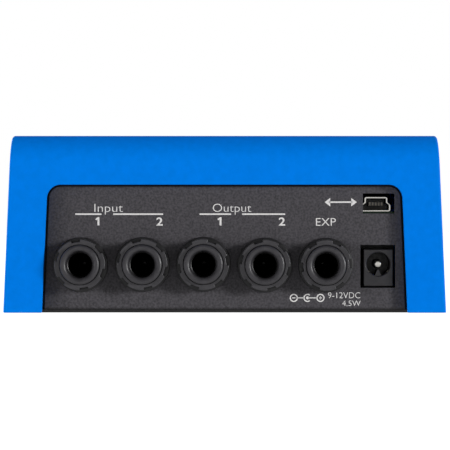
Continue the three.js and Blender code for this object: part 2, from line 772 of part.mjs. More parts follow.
// The module's frame stands around a screen set slightly lower.
function displayModule() {
  const frame = 1.5;
  const halfWidth = DISPLAY.width / 2 - frame;
  const halfHeight = DISPLAY.height / 2 - frame;
  const top = -WALL - UNDER_TOP;
  const outer = block(
    [DISPLAY.u - halfWidth, DISPLAY.v - halfHeight, CONTROL_BOARD_TOP + GAP],
    [DISPLAY.u + halfWidth, DISPLAY.v + halfHeight, top],
  );
  const screen = block(
    [DISPLAY.u - halfWidth + frame, DISPLAY.v - halfHeight + frame, top - 0.6],
    [DISPLAY.u + halfWidth - frame, DISPLAY.v + halfHeight - frame, top + 1],
  );
  return cut(solid(outer), solid(screen));
}

// A button cap guided by the cover's hole, with a flange that keeps it in and a stem over its switch.
function buttonCap(u) {
  const { stem, flange, radius, proud } = BUTTONS;
  const stemBottom = CONTROL_BOARD_TOP + GAP + BUTTON_SWITCH.height + BUTTON_SWITCH.clearance;
  const flangeTop = -WALL - UNDER_TOP;
  const flangeThick = 1;
  const edge = 0.4;
  const profile = [
    [0, stemBottom],
    [stem, stemBottom],
    [stem, flangeTop - flangeThick],
    [flange, flangeTop - flangeThick],
    [flange, flangeTop],
    [radius, flangeTop],
    [radius, proud - edge],
    [radius - edge, proud],
    [0, proud],
  ];
  return solid(turned(profile, PLAIN).translate(u, BUTTONS.v, 0));
}

function buttonSwitch(u) {
  const { half, height } = BUTTON_SWITCH;
  const bottom = CONTROL_BOARD_TOP + GAP;
  return solid(block([u - half, BUTTONS.v - half, bottom], [u + half, BUTTONS.v + half, bottom + height]));
}

piece('display_window', displayWindow(), 'glass', topGroup);
piece('display_module', displayModule(), 'softBlack', topGroup);
BUTTONS.us.forEach((u, index) => {
  piece(`button_cap_${index + 1}`, buttonCap(u), 'softBlack', topGroup);
  piece(`button_switch_${index + 1}`, buttonSwitch(u), 'blackPlastic', topGroup);
});

// ---------------------------------------------------------------- push encoder, knob and light ring

// Six-sided nut on a round bush, standing just above the top.
function hexNut(acrossFlats, bore, height) {
  const hexagon = drum(0, 0, acrossFlats / Math.sqrt(3), GAP, GAP + height, 6);
  const hole = drum(0, 0, bore, 0, height + 1);
  return cut(solid(hexagon), solid(hole));
}

const ENCODER = { half: 6, floor: 0.7, bushTop: 2.8, nutFlats: 12, nutHeight: 1.8 };
const SHAFT_BOTTOM = -5.5;
const SHAFT_TOP = 5.6;
const KNOB_HOLLOW = { radius: 10, roof: 3.7 };
const FLAT = 1.6; // from the shaft's axis to its flat
const INSERT = { radius: 10, thick: 0.6, seat: 0.9, below: 0.1 };
const PLUNGER = { radius: 2.4, height: 1.6 };

function encoderBody() {
  const { half, floor, bushTop } = ENCODER;
  const housing = block([-half, -half, CONTROL_BOARD_TOP + GAP], [half, half, -WALL - UNDER_TOP]);
  const bush = drum(0, 0, ENCODER_BUSH, -WALL - 1, bushTop);
  const bore = drum(0, 0, SHAFT_RADIUS + GAP, CONTROL_BOARD_TOP + floor, bushTop + 1);
  return cut(join(solid(housing), solid(bush)), solid(bore));
}

// Everything beyond the flat, for the shaft and for the hole that it drives.
function beyondFlat(clearance, from) {
  const outside = SHAFT_RADIUS + 1;
  return solid(block([-outside, FLAT + clearance, from], [outside, outside, SHAFT_TOP + 1]));
}

function encoderShaft() {
  const shaft = drum(0, 0, SHAFT_RADIUS, SHAFT_BOTTOM, SHAFT_TOP);
  return cut(solid(shaft), beyondFlat(0, KNOB_HOLLOW.roof));
}

function mainKnob() {
  const { radius, height, lift } = KNOB;
  const taper = 0.4;
  const edge = 1;
  const profile = [
    [KNOB_HOLLOW.radius, lift],
    [radius, lift],
    [radius - taper, height - edge],
    [radius - taper - edge, height],
    [INSERT.radius + GAP, height],
    [INSERT.radius + GAP, height - INSERT.seat],
    [0, height - INSERT.seat],
    [0, KNOB_HOLLOW.roof],
    [KNOB_HOLLOW.radius, KNOB_HOLLOW.roof],
    [KNOB_HOLLOW.radius, lift],
  ];
  const bore = drum(0, 0, SHAFT_RADIUS + GAP, KNOB_HOLLOW.roof - 1, SHAFT_TOP + GAP);
  return cut(solid(turned(profile, FINE)), cut(solid(bore), beyondFlat(GAP, KNOB_HOLLOW.roof - 2)));
}

function knobInsert() {
  const top = KNOB.height - INSERT.below;
  return solid(drum(0, 0, INSERT.radius, top - INSERT.thick, top, FINE));
}

// The push contact's button, under the shaft: it goes down with the knob and doesn't turn.
function encoderPlunger() {
  const top = SHAFT_BOTTOM - GAP;
  return solid(drum(0, 0, PLUNGER.radius, top - PLUNGER.height, top, COARSE));
}

function lightRing() {
  return solid(turned([
    [RING.inner, -RING.depth],
    [RING.outer, -RING.depth],
    [RING.outer, RING.proud],
    [RING.inner, RING.proud],
    [RING.inner, -RING.depth],
  ], FINE));
}

const knobGroup = new THREE.Group();
knobGroup.position.set(KNOB.u, KNOB.v, 0);
topGroup.add(knobGroup);

piece('encoder_body', encoderBody(), 'steel', knobGroup);
piece('encoder_plunger', encoderPlunger(), 'nylon', knobGroup);
piece('encoder_shaft', encoderShaft(), 'brass', knobGroup);
piece('encoder_nut', hexNut(ENCODER.nutFlats, ENCODER_BUSH + GAP, ENCODER.nutHeight), 'nickel', knobGroup);
piece('main_knob', mainKnob(), 'softBlack', knobGroup);
piece('knob_insert', knobInsert(), 'aluminium', knobGroup);
piece('light_ring', lightRing(), 'diffuser', knobGroup);

// ---------------------------------------------------------------- footswitches

const FOOTSWITCH_BODY = { half: 8, bottom: -22, boreBottom: -9, bushTop: 4.2, plungerBottom: -6 };
const FOOTSWITCH_NUT = { flats: 15.5, height: 2.3 };

function footswitchBody() {
  const { half, bottom, boreBottom, bushTop } = FOOTSWITCH_BODY;
  const housing = block([-half, -half, bottom], [half, half, -WALL - GAP]);
  const bush = drum(0, 0, FOOTSWITCHES.bush, -WALL - 1, bushTop);
  const bore = drum(0, 0, FOOTSWITCHES.plunger + GAP, boreBottom, bushTop + 1);
  return cut(join(solid(housing), solid(bush)), solid(bore));
}

function footswitchPlunger() {
  const { plunger, proud } = FOOTSWITCHES;
  const crown = 1.2;
  return solid(turned([
    [0, FOOTSWITCH_BODY.plungerBottom],
    [plunger, FOOTSWITCH_BODY.plungerBottom],
    [plunger, proud - crown],
    [plunger - crown / 2, proud - crown / 3],
    [0, proud],
  ]));
}

for (const side of ['left', 'right']) {
  const group = new THREE.Group();
  group.position.set(FOOTSWITCHES[side], FOOTSWITCHES.v, 0);
  topGroup.add(group);
  piece(`footswitch_body_${side}`, footswitchBody(), 'softBlack', group);
  piece(`footswitch_plunger_${side}`, footswitchPlunger(), 'nickel', group);
  const nut = hexNut(FOOTSWITCH_NUT.flats, FOOTSWITCHES.bush + GAP, FOOTSWITCH_NUT.height);
  piece(`footswitch_nut_${side}`, nut, 'nickel', group);
}

export default preamp;
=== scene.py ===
import json
import math

import bmesh
import bpy
from mathutils import Matrix, Vector


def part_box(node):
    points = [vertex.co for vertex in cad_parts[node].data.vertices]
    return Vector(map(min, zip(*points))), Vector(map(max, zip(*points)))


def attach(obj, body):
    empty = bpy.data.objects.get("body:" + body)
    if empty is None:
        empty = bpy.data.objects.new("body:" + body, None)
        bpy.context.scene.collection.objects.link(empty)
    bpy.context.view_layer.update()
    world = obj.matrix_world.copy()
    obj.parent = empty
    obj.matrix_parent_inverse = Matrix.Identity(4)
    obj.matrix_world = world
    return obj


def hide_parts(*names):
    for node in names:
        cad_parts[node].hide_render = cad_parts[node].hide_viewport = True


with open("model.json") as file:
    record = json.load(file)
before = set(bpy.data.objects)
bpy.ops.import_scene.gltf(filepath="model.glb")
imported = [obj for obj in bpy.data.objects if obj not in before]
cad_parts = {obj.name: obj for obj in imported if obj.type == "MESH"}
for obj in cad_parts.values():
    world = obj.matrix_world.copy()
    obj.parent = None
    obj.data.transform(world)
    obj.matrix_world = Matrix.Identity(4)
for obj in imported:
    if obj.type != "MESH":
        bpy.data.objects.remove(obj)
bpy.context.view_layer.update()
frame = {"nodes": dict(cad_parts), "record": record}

# Every piece is built in millimetres in the row frame and scaled to metres at the end.
MM = 0.001


def box_mm(node):
    low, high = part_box(node)
    return low / MM, high / MM


def middle(node):
    low, high = box_mm(node)
    return (low + high) / 2


# ---- sizes

# Lean of the sides and the front, slope of the top, and the radii where the top meets rear and front.
DRAFT = math.radians(2.45)
TOP_SLOPE = math.radians(7.5)
REAR_BEND = 8.0
FRONT_BEND = 6.0
WALL = 2.0
GAP = 0.3
EDGE = 0.8
# The opening round the rear panel: half its width at the foot, its height and its corner radius.
OPENING_HALF = 48.6
OPENING_TOP = 34.0
OPENING_CORNER = 3.7
# The tray's sheet and the outer radius of its fold.
SHEET = 1.2
FOLD = 1.6

JACKS = ("input_1", "input_2", "output_1", "output_2", "expression")
# How far each ring nut is turned, in degrees.
NUT_TURNS = (40, 44, 9, 46, 4)
# How far each jack sits off the centre of its hole in the panel, along X and Z.
JACK_SEATS = ((0.08, -0.06), (-0.12, 0.0), (0.0, 0.05), (0.02, -0.16), (0.12, -0.2))

cover_low, cover_high = box_mm("top_cover")
tray_low, tray_high = box_mm("chassis_tray")
HALF_WIDTH = cover_high.x
REAR_Y = cover_high.y
FRONT_Y = cover_low.y
CASE_HEIGHT = cover_high.z
PANEL_FACE = tray_high.y
PANEL_BACK = PANEL_FACE - SHEET
TRAY_UNDERSIDE = tray_low.z
TRAY_TOP = TRAY_UNDERSIDE + SHEET
PANEL_TOP = tray_high.z
FOLD_TOP = TRAY_UNDERSIDE + FOLD
# Longer than anything a cutter has to clear.
TALL = 80.0
# The groove between panel and cover, and the height at which it ends above the fold.
SEAM_WIDTH, SEAM_TOP_WIDTH, SEAM_DEPTH, SEAM_FOOT = 0.55, 0.42, 0.8, 0.9

# ---- placing

# Local x, y, z to the row frame: on the rear panel x reads towards -X, y is up and z points out.
ON_PANEL = Matrix(((-1, 0, 0, 0), (0, 0, 1, 0), (0, 1, 0, 0), (0, 0, 0, 1)))
UPRIGHT = Matrix.Identity(4)

rear_bend = Vector((REAR_Y - REAR_BEND, CASE_HEIGHT - REAR_BEND))
top_normal = Vector((-math.sin(TOP_SLOPE), math.cos(TOP_SLOPE)))
front_normal = Vector((-math.cos(DRAFT), math.sin(DRAFT)))
top_offset = top_normal.dot(rear_bend) + REAR_BEND
front_offset = front_normal.x * FRONT_Y

# The frame of everything on the sloped top: x to the right, y up the slope, z out of the top.
ON_TOP = Matrix.Translation((0, 0, top_offset / math.cos(TOP_SLOPE))) @ Matrix.Rotation(TOP_SLOPE, 4, "X")


def on_top(node):
    """The middle of a CAD node of the sloped top, in the top's own frame."""
    return ON_TOP.inverted() @ middle(node)


def standing(at):
    """The top's frame, moved to a place on the top."""
    return ON_TOP @ Matrix.Translation((at.x, at.y, 0))


def inside_top_and_front(from_top, from_front):
    """The point (y, z) that lies inside the top's face and the front's face by the two distances."""
    a, b = top_offset - from_top, front_offset - from_front
    cross = top_normal.x * front_normal.y - top_normal.y * front_normal.x
    return Vector(((a * front_normal.y - b * top_normal.y) / cross,
                   (b * top_normal.x - a * front_normal.x) / cross))


front_bend = inside_top_and_front(FRONT_BEND, FRONT_BEND)

# ---- mesh tools


def on_circle(x, y, radius, angles):
    return [(x + radius * math.cos(a), y + radius * math.sin(a)) for a in angles]


def arc(centre, radius, start, end, steps):
    """Points on an arc between two angles, both ends included."""
    return on_circle(*centre, radius, [start + (end - start) * i / steps for i in range(steps + 1)])


def linked(name, data):
    """A new object in the scene."""
    obj = bpy.data.objects.new(name, data)
    bpy.context.scene.collection.objects.link(obj)
    return obj


def to_object(name, bm):
    bmesh.ops.recalc_face_normals(bm, faces=bm.faces)
    mesh = bpy.data.meshes.new(name)
    bm.to_mesh(mesh)
    bm.free()
    return linked(name, mesh)


def closed(first, second):
    """A solid between two outlines with the same number of points."""
    bm = bmesh.new()
    rings = [[bm.verts.new(point) for point in points] for points in (first, second)]
    for ring in rings:
        bm.faces.new(ring)
    count = len(first)
    for i in range(count):
        j = (i + 1) % count
        bm.faces.new((rings[0][i], rings[0][j], rings[1][j], rings[1][i]))
    return to_object("solid", bm)


def prism(outline, low, high, matrix=UPRIGHT):
    """An outline in local x and y, pushed from low to high along local z."""
    return closed(*[[matrix @ Vector((x, y, z)) for x, y in outline] for z in (low, high)])


def block(low, high, matrix=UPRIGHT):
    outline = [(low[0], low[1]), (high[0], low[1]), (high[0], high[1]), (low[0], high[1])]
    return prism(outline, low[2], high[2], matrix)


def revolve(profile, matrix=UPRIGHT, steps=64, ring=False):
    """A profile of (radius, along) turned about local z, from axis to axis or closed as a ring."""
    bm = bmesh.new()
    rows = []
    for radius, along in profile:
        if radius < 1e-6:
            rows.append([bm.verts.new(matrix @ Vector((0, 0, along)))])
            continue
        rows.append([bm.verts.new(matrix @ Vector((radius * math.cos(2 * math.pi * k / steps),
                                                   radius * math.sin(2 * math.pi * k / steps), along)))
                     for k in range(steps)])
    pairs = list(zip(rows, rows[1:])) + ([(rows[-1], rows[0])] if ring else [])
    for a, b in pairs:
        for k in range(steps):
            n = (k + 1) % steps
            corners = [a[k % len(a)], a[n % len(a)], b[n % len(b)], b[k % len(b)]]
            corners = [c for i, c in enumerate(corners) if c not in corners[:i]]
            if len(corners) > 2:
                bm.faces.new(corners)
    return to_object("turned", bm)


def bake(obj):
    """Replaces an object's mesh by the one its modifiers give."""
    graph = bpy.context.evaluated_depsgraph_get()
    mesh = bpy.data.meshes.new_from_object(obj.evaluated_get(graph))
    obj.modifiers.clear()
    obj.data = mesh


def merged(objects):
    """Several separate objects as one mesh."""
    bm = bmesh.new()
    for obj in objects:
        bm.from_mesh(obj.data)
        bpy.data.objects.remove(obj)
    return to_object("merged", bm)


def boolean(target, others, operation):
    other = merged(others)
    modifier = target.modifiers.new(operation, "BOOLEAN")
    modifier.operation = operation
    modifier.solver = "EXACT"
    modifier.object = other
    bake(target)
    bpy.data.objects.remove(other)
    return target


def cut(target, *others):
    return boolean(target, others, "DIFFERENCE")


def join(target, *others):
    for other in others:
        boolean(target, [other], "UNION")
    return target


def round_edges(obj, width, segments, angle):
    modifier = obj.modifiers.new("edges", "BEVEL")
    modifier.width = width
    modifier.segments = segments
    modifier.limit_method = "ANGLE"
    modifier.angle_limit = math.radians(angle)
    modifier.use_clamp_overlap = False
    bake(obj)
    return obj


def finished(obj, name, slot, *nodes, body="root", material=None):
    """Names a piece, scales it to metres, gives it its body and its material, and hides the CAD nodes it
    replaces.
    """
    obj.name = name
    obj.data.name = name
    obj.data.transform(Matrix.Scale(MM, 4))
    obj.data.polygons.foreach_set("use_smooth", [True] * len(obj.data.polygons))
    obj.data.set_sharp_from_angle(angle=math.radians(32))
    modifier = obj.modifiers.new("normals", "WEIGHTED_NORMAL")
    modifier.keep_sharp = True
    obj.data.materials.clear()
    obj.data.materials.append(material or MATERIALS[slot])
    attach(obj, body)
    if nodes:
        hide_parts(*nodes)


# ---- materials


def srgb(code):
    """A hexadecimal sRGB colour as linear values."""
    channels = [int(code[i:i + 2], 16) / 255 for i in (0, 2, 4)]
    return (*[c / 12.92 if c <= 0.04045 else ((c + 0.055) / 1.055) ** 2.4 for c in channels], 1)


def map_range(tree, value, start, end, low, high):
    node = tree.nodes.new("ShaderNodeMapRange")
    for socket, number in (("From Min", start), ("From Max", end), ("To Min", low), ("To Max", high)):
        node.inputs[socket].default_value = number
    tree.links.new(value, node.inputs["Value"])
    return node.outputs["Result"]


class Shader:
    """A principled material and the few node chains that the materials here share."""

    def __init__(self, name, color, roughness, metallic=0.0, specular=0.5):
        self.material = bpy.data.materials.new(name)
        self.material.use_nodes = True
        self.nodes = self.material.node_tree.nodes
        self.link = self.material.node_tree.links.new
        self.bsdf = self.nodes["Principled BSDF"]
        for socket, value in (("Base Color", color), ("Roughness", roughness), ("Metallic", metallic),
                              ("Specular IOR Level", specular)):
            self.bsdf.inputs[socket].default_value = value
        self.color = color
        self.position = self.nodes.new("ShaderNodeTexCoord").outputs["Object"]
        self.height = None

    def noise(self, size_mm, detail=2.0):
        """Noise whose features are about size_mm across."""
        texture = self.nodes.new("ShaderNodeTexNoise")
        texture.inputs["Scale"].default_value = 1 / (size_mm * MM)
        texture.inputs["Detail"].default_value = detail
        self.link(self.position, texture.inputs["Vector"])
        return texture.outputs["Fac"]

    def cells(self, size_mm):
        texture = self.nodes.new("ShaderNodeTexVoronoi")
        texture.inputs["Scale"].default_value = 1 / (size_mm * MM)
        self.link(self.position, texture.inputs["Vector"])
        return texture.outputs["Distance"]

    def ranged(self, value, low, high, start=0.3, end=0.7):
        """value, from start to end, as a number from low to high."""
        return map_range(self.material.node_tree, value, start, end, low, high)

    def vary_color(self, value, low, high, start=0.3, end=0.7):
        """Makes the colour darker and lighter between two factors, as value goes from start to end."""
        mix = self.nodes.new("ShaderNodeMix")
        mix.data_type = "RGBA"
        self.link(self.ranged(value, 0, 1, start, end), mix.inputs["Factor"])
        mix.inputs["A"].default_value = (*[c * low for c in self.color[:3]], 1)
        mix.inputs["B"].default_value = (*[c * high for c in self.color[:3]], 1)
        self.link(mix.outputs["Result"], self.bsdf.inputs["Base Color"])
        return self

    def axes(self):
        split = self.nodes.new("ShaderNodeSeparateXYZ")
        self.link(self.position, split.inputs["Vector"])
        return split.outputs

    def shade(self, factor):
        """Multiplies the colour by a factor."""
        scaled = self.nodes.new("ShaderNodeVectorMath")
        scaled.operation = "SCALE"
        before = self.bsdf.inputs["Base Color"].links[0].from_socket
        self.link(before, scaled.inputs[0])
        self.link(factor, scaled.inputs["Scale"])
        self.link(scaled.outputs["Vector"], self.bsdf.inputs["Base Color"])
        return self

    def shade_along(self, axis, dark, light, start_mm, end_mm):
        """Multiplies the colour by dark up to start_mm along an axis, and by light from end_mm on."""
        return self.shade(self.ranged(self.axes()[axis], dark, light, start_mm * MM, end_mm * MM))

    def larger(self, first, second):
        node = self.nodes.new("ShaderNodeMath")
        node.operation = "MAXIMUM"
        self.link(first, node.inputs[0])
        self.link(second, node.inputs[1])
        return node.outputs[0]

    def vary_roughness(self, value, low, high, start=0.3, end=0.7):
        self.link(self.ranged(value, low, high, start, end), self.bsdf.inputs["Roughness"])
        return self

    def bump(self, value, depth_mm, strength=1.0):
        node = self.nodes.new("ShaderNodeBump")
        node.inputs["Strength"].default_value = strength
        node.inputs["Distance"].default_value = depth_mm * MM
        self.link(value, node.inputs["Height"])
        if self.height:
            self.link(self.height, node.inputs["Normal"])
        self.height = node.outputs["Normal"]
        self.link(self.height, self.bsdf.inputs["Normal"])
        return self


def blue_paint():
    s = Shader("blue_paint", (0.0, 0.21, 0.84, 1), 0.5, specular=0.015)
    s.vary_color(s.noise(2, 4), 0.96, 1.04)
    s.vary_roughness(s.noise(1.2), 0.44, 0.56)
    return s.bump(s.noise(0.45, 3), 0.03, 0.5).material


def dark_powder():
    """Powder coat, with painted shade in the seam round the panel, on the fold under it and towards the
    opening's sides.
    """
    seam_shade, fold_shade, fold_light = 0.1, 0.05, 1.1
    # Painted shade towards the opening's sides, and deeper in the groove's foot: shade, and where it starts
    # and is full, counted inwards from either side of the opening.
    side_shades = ((0.7, 5.0, 1.5), (0.15, SEAM_WIDTH + 0.1, SEAM_WIDTH - 0.05))
    s = Shader("dark_powder_coat", srgb("444246"), 0.62, specular=0.35)
    s.vary_color(s.noise(0.55, 4), 0.66, 1.36, 0.34, 0.66)
    place = s.axes()
    # Painted shade in the groove round the panel, but not on the fold.
    in_seam = s.ranged(place["Y"], seam_shade, 1.0, (PANEL_FACE - 0.6) * MM, (PANEL_FACE - 0.1) * MM)
    below_seam = s.ranged(place["Z"], 1.0, 0.0, FOLD_TOP * MM, (FOLD_TOP + 0.5) * MM)
    s.shade(s.larger(in_seam, below_seam))
    # Painted shade on the fold under the panel, darkest at the underside; further into the case the tray
    # keeps its colour.
    up_the_fold = s.ranged(place["Z"], fold_shade, 1.0,
                           TRAY_UNDERSIDE * MM, (TRAY_UNDERSIDE + fold_light) * MM)
    before_fold = s.ranged(place["Y"], 1.0, 0.0, (PANEL_FACE - 9) * MM, (PANEL_FACE - 4) * MM)
    s.shade(s.larger(up_the_fold, before_fold))
    for shade, start, full in side_shades:
        s.shade_along("X", 1.0, shade, OPENING_HALF - start, OPENING_HALF - full)
        s.shade_along("X", shade, 1.0, full - OPENING_HALF, start - OPENING_HALF)
    s.vary_roughness(s.noise(0.8), 0.55, 0.72)
    return s.bump(s.noise(0.35, 3), 0.06, 0.7).material


def black_plastic(name="black_plastic", code="2C2B2E", depth_shade=None):
    """Moulded plastic. depth_shade, if any, is (dark, light, from mm, to mm) along Y: painted shade where
    deep, and painted light where light is above 1.
    """
    s = Shader(name, srgb(code), 0.42, specular=0.5)
    s.vary_color(s.noise(1.4, 3), 0.85, 1.15)
    if depth_shade:
        # Painted shade and painted light, by depth along Y.
        s.shade_along("Y", *depth_shade)
    s.vary_roughness(s.noise(0.6), 0.34, 0.5)
    return s.bump(s.noise(0.25, 2), 0.02, 0.4).material


def soft_black():
    s = Shader("soft_black_plastic", srgb("222226"), 0.6, specular=0.4)
    s.vary_color(s.noise(2.0, 3), 0.85, 1.15)
    return s.bump(s.cells(0.22), 0.02, 0.35).material


def plated(name, color, roughness):
    s = Shader(name, srgb(color), roughness, metallic=1.0)
    s.vary_color(s.noise(6, 2), 0.94, 1.05)
    s.vary_roughness(s.noise(3.0, 3), roughness * 0.85, roughness * 1.2)
    return s.bump(s.noise(2.0, 2), 0.01, 0.25).material


def spun_aluminium():
    """Turned on a lathe: fine rings, drawn by geometry on the knob's insert, over an even satin."""
    s = Shader("aluminium", srgb("C8CACE"), 0.34, metallic=1.0)
    s.vary_color(s.noise(0.5, 3), 0.95, 1.04)
    s.vary_roughness(s.noise(0.8, 3), 0.31, 0.38)
    return s.bump(s.noise(0.5, 2), 0.002, 0.15).material


def circuit_board():
    s = Shader("circuit_board", srgb("1C5A33"), 0.35)
    s.vary_color(s.cells(2.4), 0.7, 1.25, 0.45, 0.5)
    return s.bump(s.cells(2.4), 0.03, 0.5).material


def plain_plastic(name, color, roughness, grain_mm):
    s = Shader(name, srgb(color), roughness)
    s.vary_color(s.noise(grain_mm * 6, 3), 0.93, 1.05)
    s.vary_roughness(s.noise(grain_mm * 2), roughness * 0.85, roughness * 1.15)
    return s.bump(s.noise(grain_mm, 2), 0.015, 0.4).material


def display_glass():
    s = Shader("display_glass", srgb("0C0E12"), 0.07)
    s.vary_color(s.noise(20, 2), 0.9, 1.15)
    return s.vary_roughness(s.noise(5, 3), 0.05, 0.11).material


def label_ink():
    s = Shader("label_ink", srgb("E6E4E3"), 0.6, specular=0.3)
    s.vary_color(s.noise(0.3, 3), 0.86, 1.06)
    return s.bump(s.noise(0.2), 0.01, 0.4).material


MATERIALS = {
    "blue_paint": blue_paint(),
    "dark_powder_coat": dark_powder(),
    "black_plastic": black_plastic(),
    "soft_black_plastic": soft_black(),
    "zinc_steel": plated("zinc_steel", "A9ACB0", 0.32),
    "nickel": plated("nickel", "D2D0CA", 0.2),
    "brass": plated("brass", "C9A55A", 0.3),
    "aluminium": spun_aluminium(),
    "circuit_board": circuit_board(),
    "nylon": plain_plastic("nylon", "E4E2D8", 0.5, 0.4),
    "ribbon_plastic": plain_plastic("ribbon_plastic", "9AA0A8", 0.55, 0.5),
    "diffuser": plain_plastic("diffuser", "DDE3EA", 0.35, 0.6),
    "display_glass": display_glass(),
    "label_ink": label_ink(),
}


# A darker contact metal: painted shade on the contacts that lie deep inside the sockets.
CONTACTS_IN_PAINTED_SHADE = plated("contacts_in_painted_shade", "77736C", 0.42)


# ---- case


def side_profile(inset, bottom):
    """The case from the side as (y, z) points, moved inwards by inset and open downwards to bottom."""
    foot = FRONT_Y + inset / math.cos(DRAFT) + bottom * math.tan(DRAFT)
    top_angle = math.pi / 2 + TOP_SLOPE
    return ([(foot, bottom), (REAR_Y - inset, bottom)]
            + arc(rear_bend, REAR_BEND - inset, 0, top_angle, 24)
            + arc(front_bend, FRONT_BEND - inset, top_angle, math.pi - DRAFT, 20))


def half_width_at(z, inset=0.0):
    return HALF_WIDTH - inset / math.cos(DRAFT) - z * math.tan(DRAFT)


def between_sides(profile, inset):
    """A (y, z) profile closed by the case's two leaning sides."""
    return closed(*[[(side * half_width_at(z, inset), y, z) for y, z in profile] for side in (-1, 1)])


def round_sides(obj, width):
    """Rounds the long edges where the sides meet the rear, the top and the front, but not the lower rim."""
    bm = bmesh.new()
    bm.from_mesh(obj.data)
    bm.normal_update()
    edges = []
    for edge in bm.edges:
        above_rim = max(v.co.z for v in edge.verts) > 0.01
        on_side = any(abs(f.normal.x) > 0.9 for f in edge.link_faces)
        if on_side and above_rim:
            edges.append(edge)
    bmesh.ops.bevel(bm, geom=edges, offset=width, segments=5, profile=0.5, affect="EDGES",
                    clamp_overlap=False)
    bm.to_mesh(obj.data)
    bm.free()
    return obj


def rear_opening(low, high, inset=0.0):
    """The opening round the rear panel, or the same outline moved inwards, from low to high along Y."""
    corner = OPENING_CORNER - inset
    corner_z = OPENING_TOP - OPENING_CORNER

    def half(z):
        return OPENING_HALF - z * math.tan(DRAFT) - inset / math.cos(DRAFT)

    corner_x = OPENING_HALF - corner_z * math.tan(DRAFT) - OPENING_CORNER / math.cos(DRAFT)
    outline = ([(-half(-1), -1), (half(-1), -1)]
               + arc((corner_x, corner_z), corner, DRAFT, math.pi / 2, 14)
               + arc((-corner_x, corner_z), corner, math.pi / 2, math.pi - DRAFT, 14))
    return prism(outline, low, high, ON_PANEL)


def drum(at, radius, low, high, matrix=ON_TOP, steps=64):
    return revolve([(0, low), (radius, low), (radius, high), (0, high)],
                   matrix @ Matrix.Translation((at.x, at.y, 0)), steps)


knob_at = on_top("encoder_nut")
display_at = on_top("display_window")
button_at = [on_top(f"button_cap_{i}") for i in range(1, 5)]
footswitch_at = {side: on_top(f"footswitch_nut_{side}") for side in ("left", "right")}

# Sizes on the top. What is sunk or proud is counted from its surface.
ENCODER_BUSH = 4.5
RING_INNER, RING_OUTER, RING_DEPTH, RING_PROUD = 14.2, 16.4, 0.9, 0.3
DISPLAY_WIDTH, DISPLAY_HEIGHT, DISPLAY_LEDGE, DISPLAY_RECESS = 76.0, 26.0, 2.5, 1.1
BUTTON_RADIUS, BUTTON_PROUD = 4.5, 1.3
FOOTSWITCH_BUSH = 6.0
FOOTSWITCH_PLUNGER = 4.6


def top_cutters():
    x, y = display_at.x, display_at.y
    hw, hh = DISPLAY_WIDTH / 2, DISPLAY_HEIGHT / 2
    below, above = -WALL - 1.5, 2
    cutters = [
        block((x - hw, y - hh, -DISPLAY_RECESS), (x + hw, y + hh, above), ON_TOP),
        block((x - hw + DISPLAY_LEDGE, y - hh + DISPLAY_LEDGE, below),
              (x + hw - DISPLAY_LEDGE, y + hh - DISPLAY_LEDGE, -DISPLAY_RECESS + 0.5), ON_TOP),
        drum(knob_at, ENCODER_BUSH + GAP, below, above),
        revolve([(RING_INNER - GAP, -RING_DEPTH - GAP), (RING_OUTER + GAP, -RING_DEPTH - GAP),
                 (RING_OUTER + GAP, above), (RING_INNER - GAP, above)],
                standing(knob_at), 96, ring=True),
    ]
    cutters += [drum(at, BUTTON_RADIUS + GAP, below, above) for at in button_at]
    cutters += [drum(at, FOOTSWITCH_BUSH + GAP, below, above) for at in footswitch_at.values()]
    return cutters


def top_cover():
    cover = round_sides(between_sides(side_profile(0, 0), 0), EDGE)
    cut(cover, between_sides(side_profile(WALL, -3), WALL))
    cut(cover, rear_opening(REAR_Y - WALL - 1, REAR_Y + 1))
    for cutter in top_cutters():
        cut(cover, cutter)
    round_edges(cover, 0.22, 2, 55)
    finished(cover, "case_cover", "blue_paint", "top_cover")


top_cover()


def tray_profile():
    centre = (PANEL_FACE - FOLD, TRAY_UNDERSIDE + FOLD)
    return ([(tray_low.y, TRAY_UNDERSIDE)]
            + arc(centre, FOLD, -math.pi / 2, 0, 12)
            + [(PANEL_FACE, PANEL_TOP), (PANEL_BACK, PANEL_TOP)]
            + arc(centre, FOLD - SHEET, 0, -math.pi / 2, 12)
            + [(tray_low.y, TRAY_TOP)])


CORNERS = ("front_left", "front_right", "rear_left", "rear_right")
screws = {corner: middle(f"cover_screw_{corner}") for corner in CORNERS}
CUP_RADIUS, CUP_RISE, SCREW_RADIUS = 4.6, 2.0, 1.5
# Cut-outs of the panel as (least X, least Z, greatest X, greatest Z).
DC_CUTOUT = (-45.4, 6.6, -36.1, 18.0)
USB_CUTOUT = (-45.2, 26.4, -36.8, 31.7)
BUSH_RADIUS = 5.25
jack_at = []
for name in JACKS:
    low, high = box_mm(f"jack_body_{name}")
    jack_at.append(Vector(((low.x + high.x) / 2, high.y, (low.z + high.z) / 2)))


def panel_drum(x, z, radius, low, high, steps=64):
    """A cylinder along Y at (x, z)."""
    return revolve([(0, low), (radius, low), (radius, high), (0, high)],
                   Matrix.Translation((x, 0, z)) @ ON_PANEL, steps)


def panel_block(cutout, low, high):
    left, bottom, right, top = cutout
    return block((-right, bottom, low), (-left, top, high), ON_PANEL)


def panel_seam():
    """The cutter of the groove along the opening's edge, above the fold."""
    groove = rear_opening(PANEL_FACE - SEAM_DEPTH, PANEL_FACE + 1, -GAP)
    field = rear_opening(PANEL_FACE - SHEET, PANEL_FACE + 2, SEAM_WIDTH)
    field.data.transform(Matrix.Translation((0, 0, SEAM_WIDTH - SEAM_TOP_WIDTH)))
    foot = block((-TALL, -TALL, 0), (TALL, SEAM_FOOT, TALL * 2), ON_PANEL)
    return cut(cut(groove, field), foot)


def at_screws(radius, low, high, steps=48):
    return [drum(at, radius, low, high, UPRIGHT, steps) for at in screws.values()]


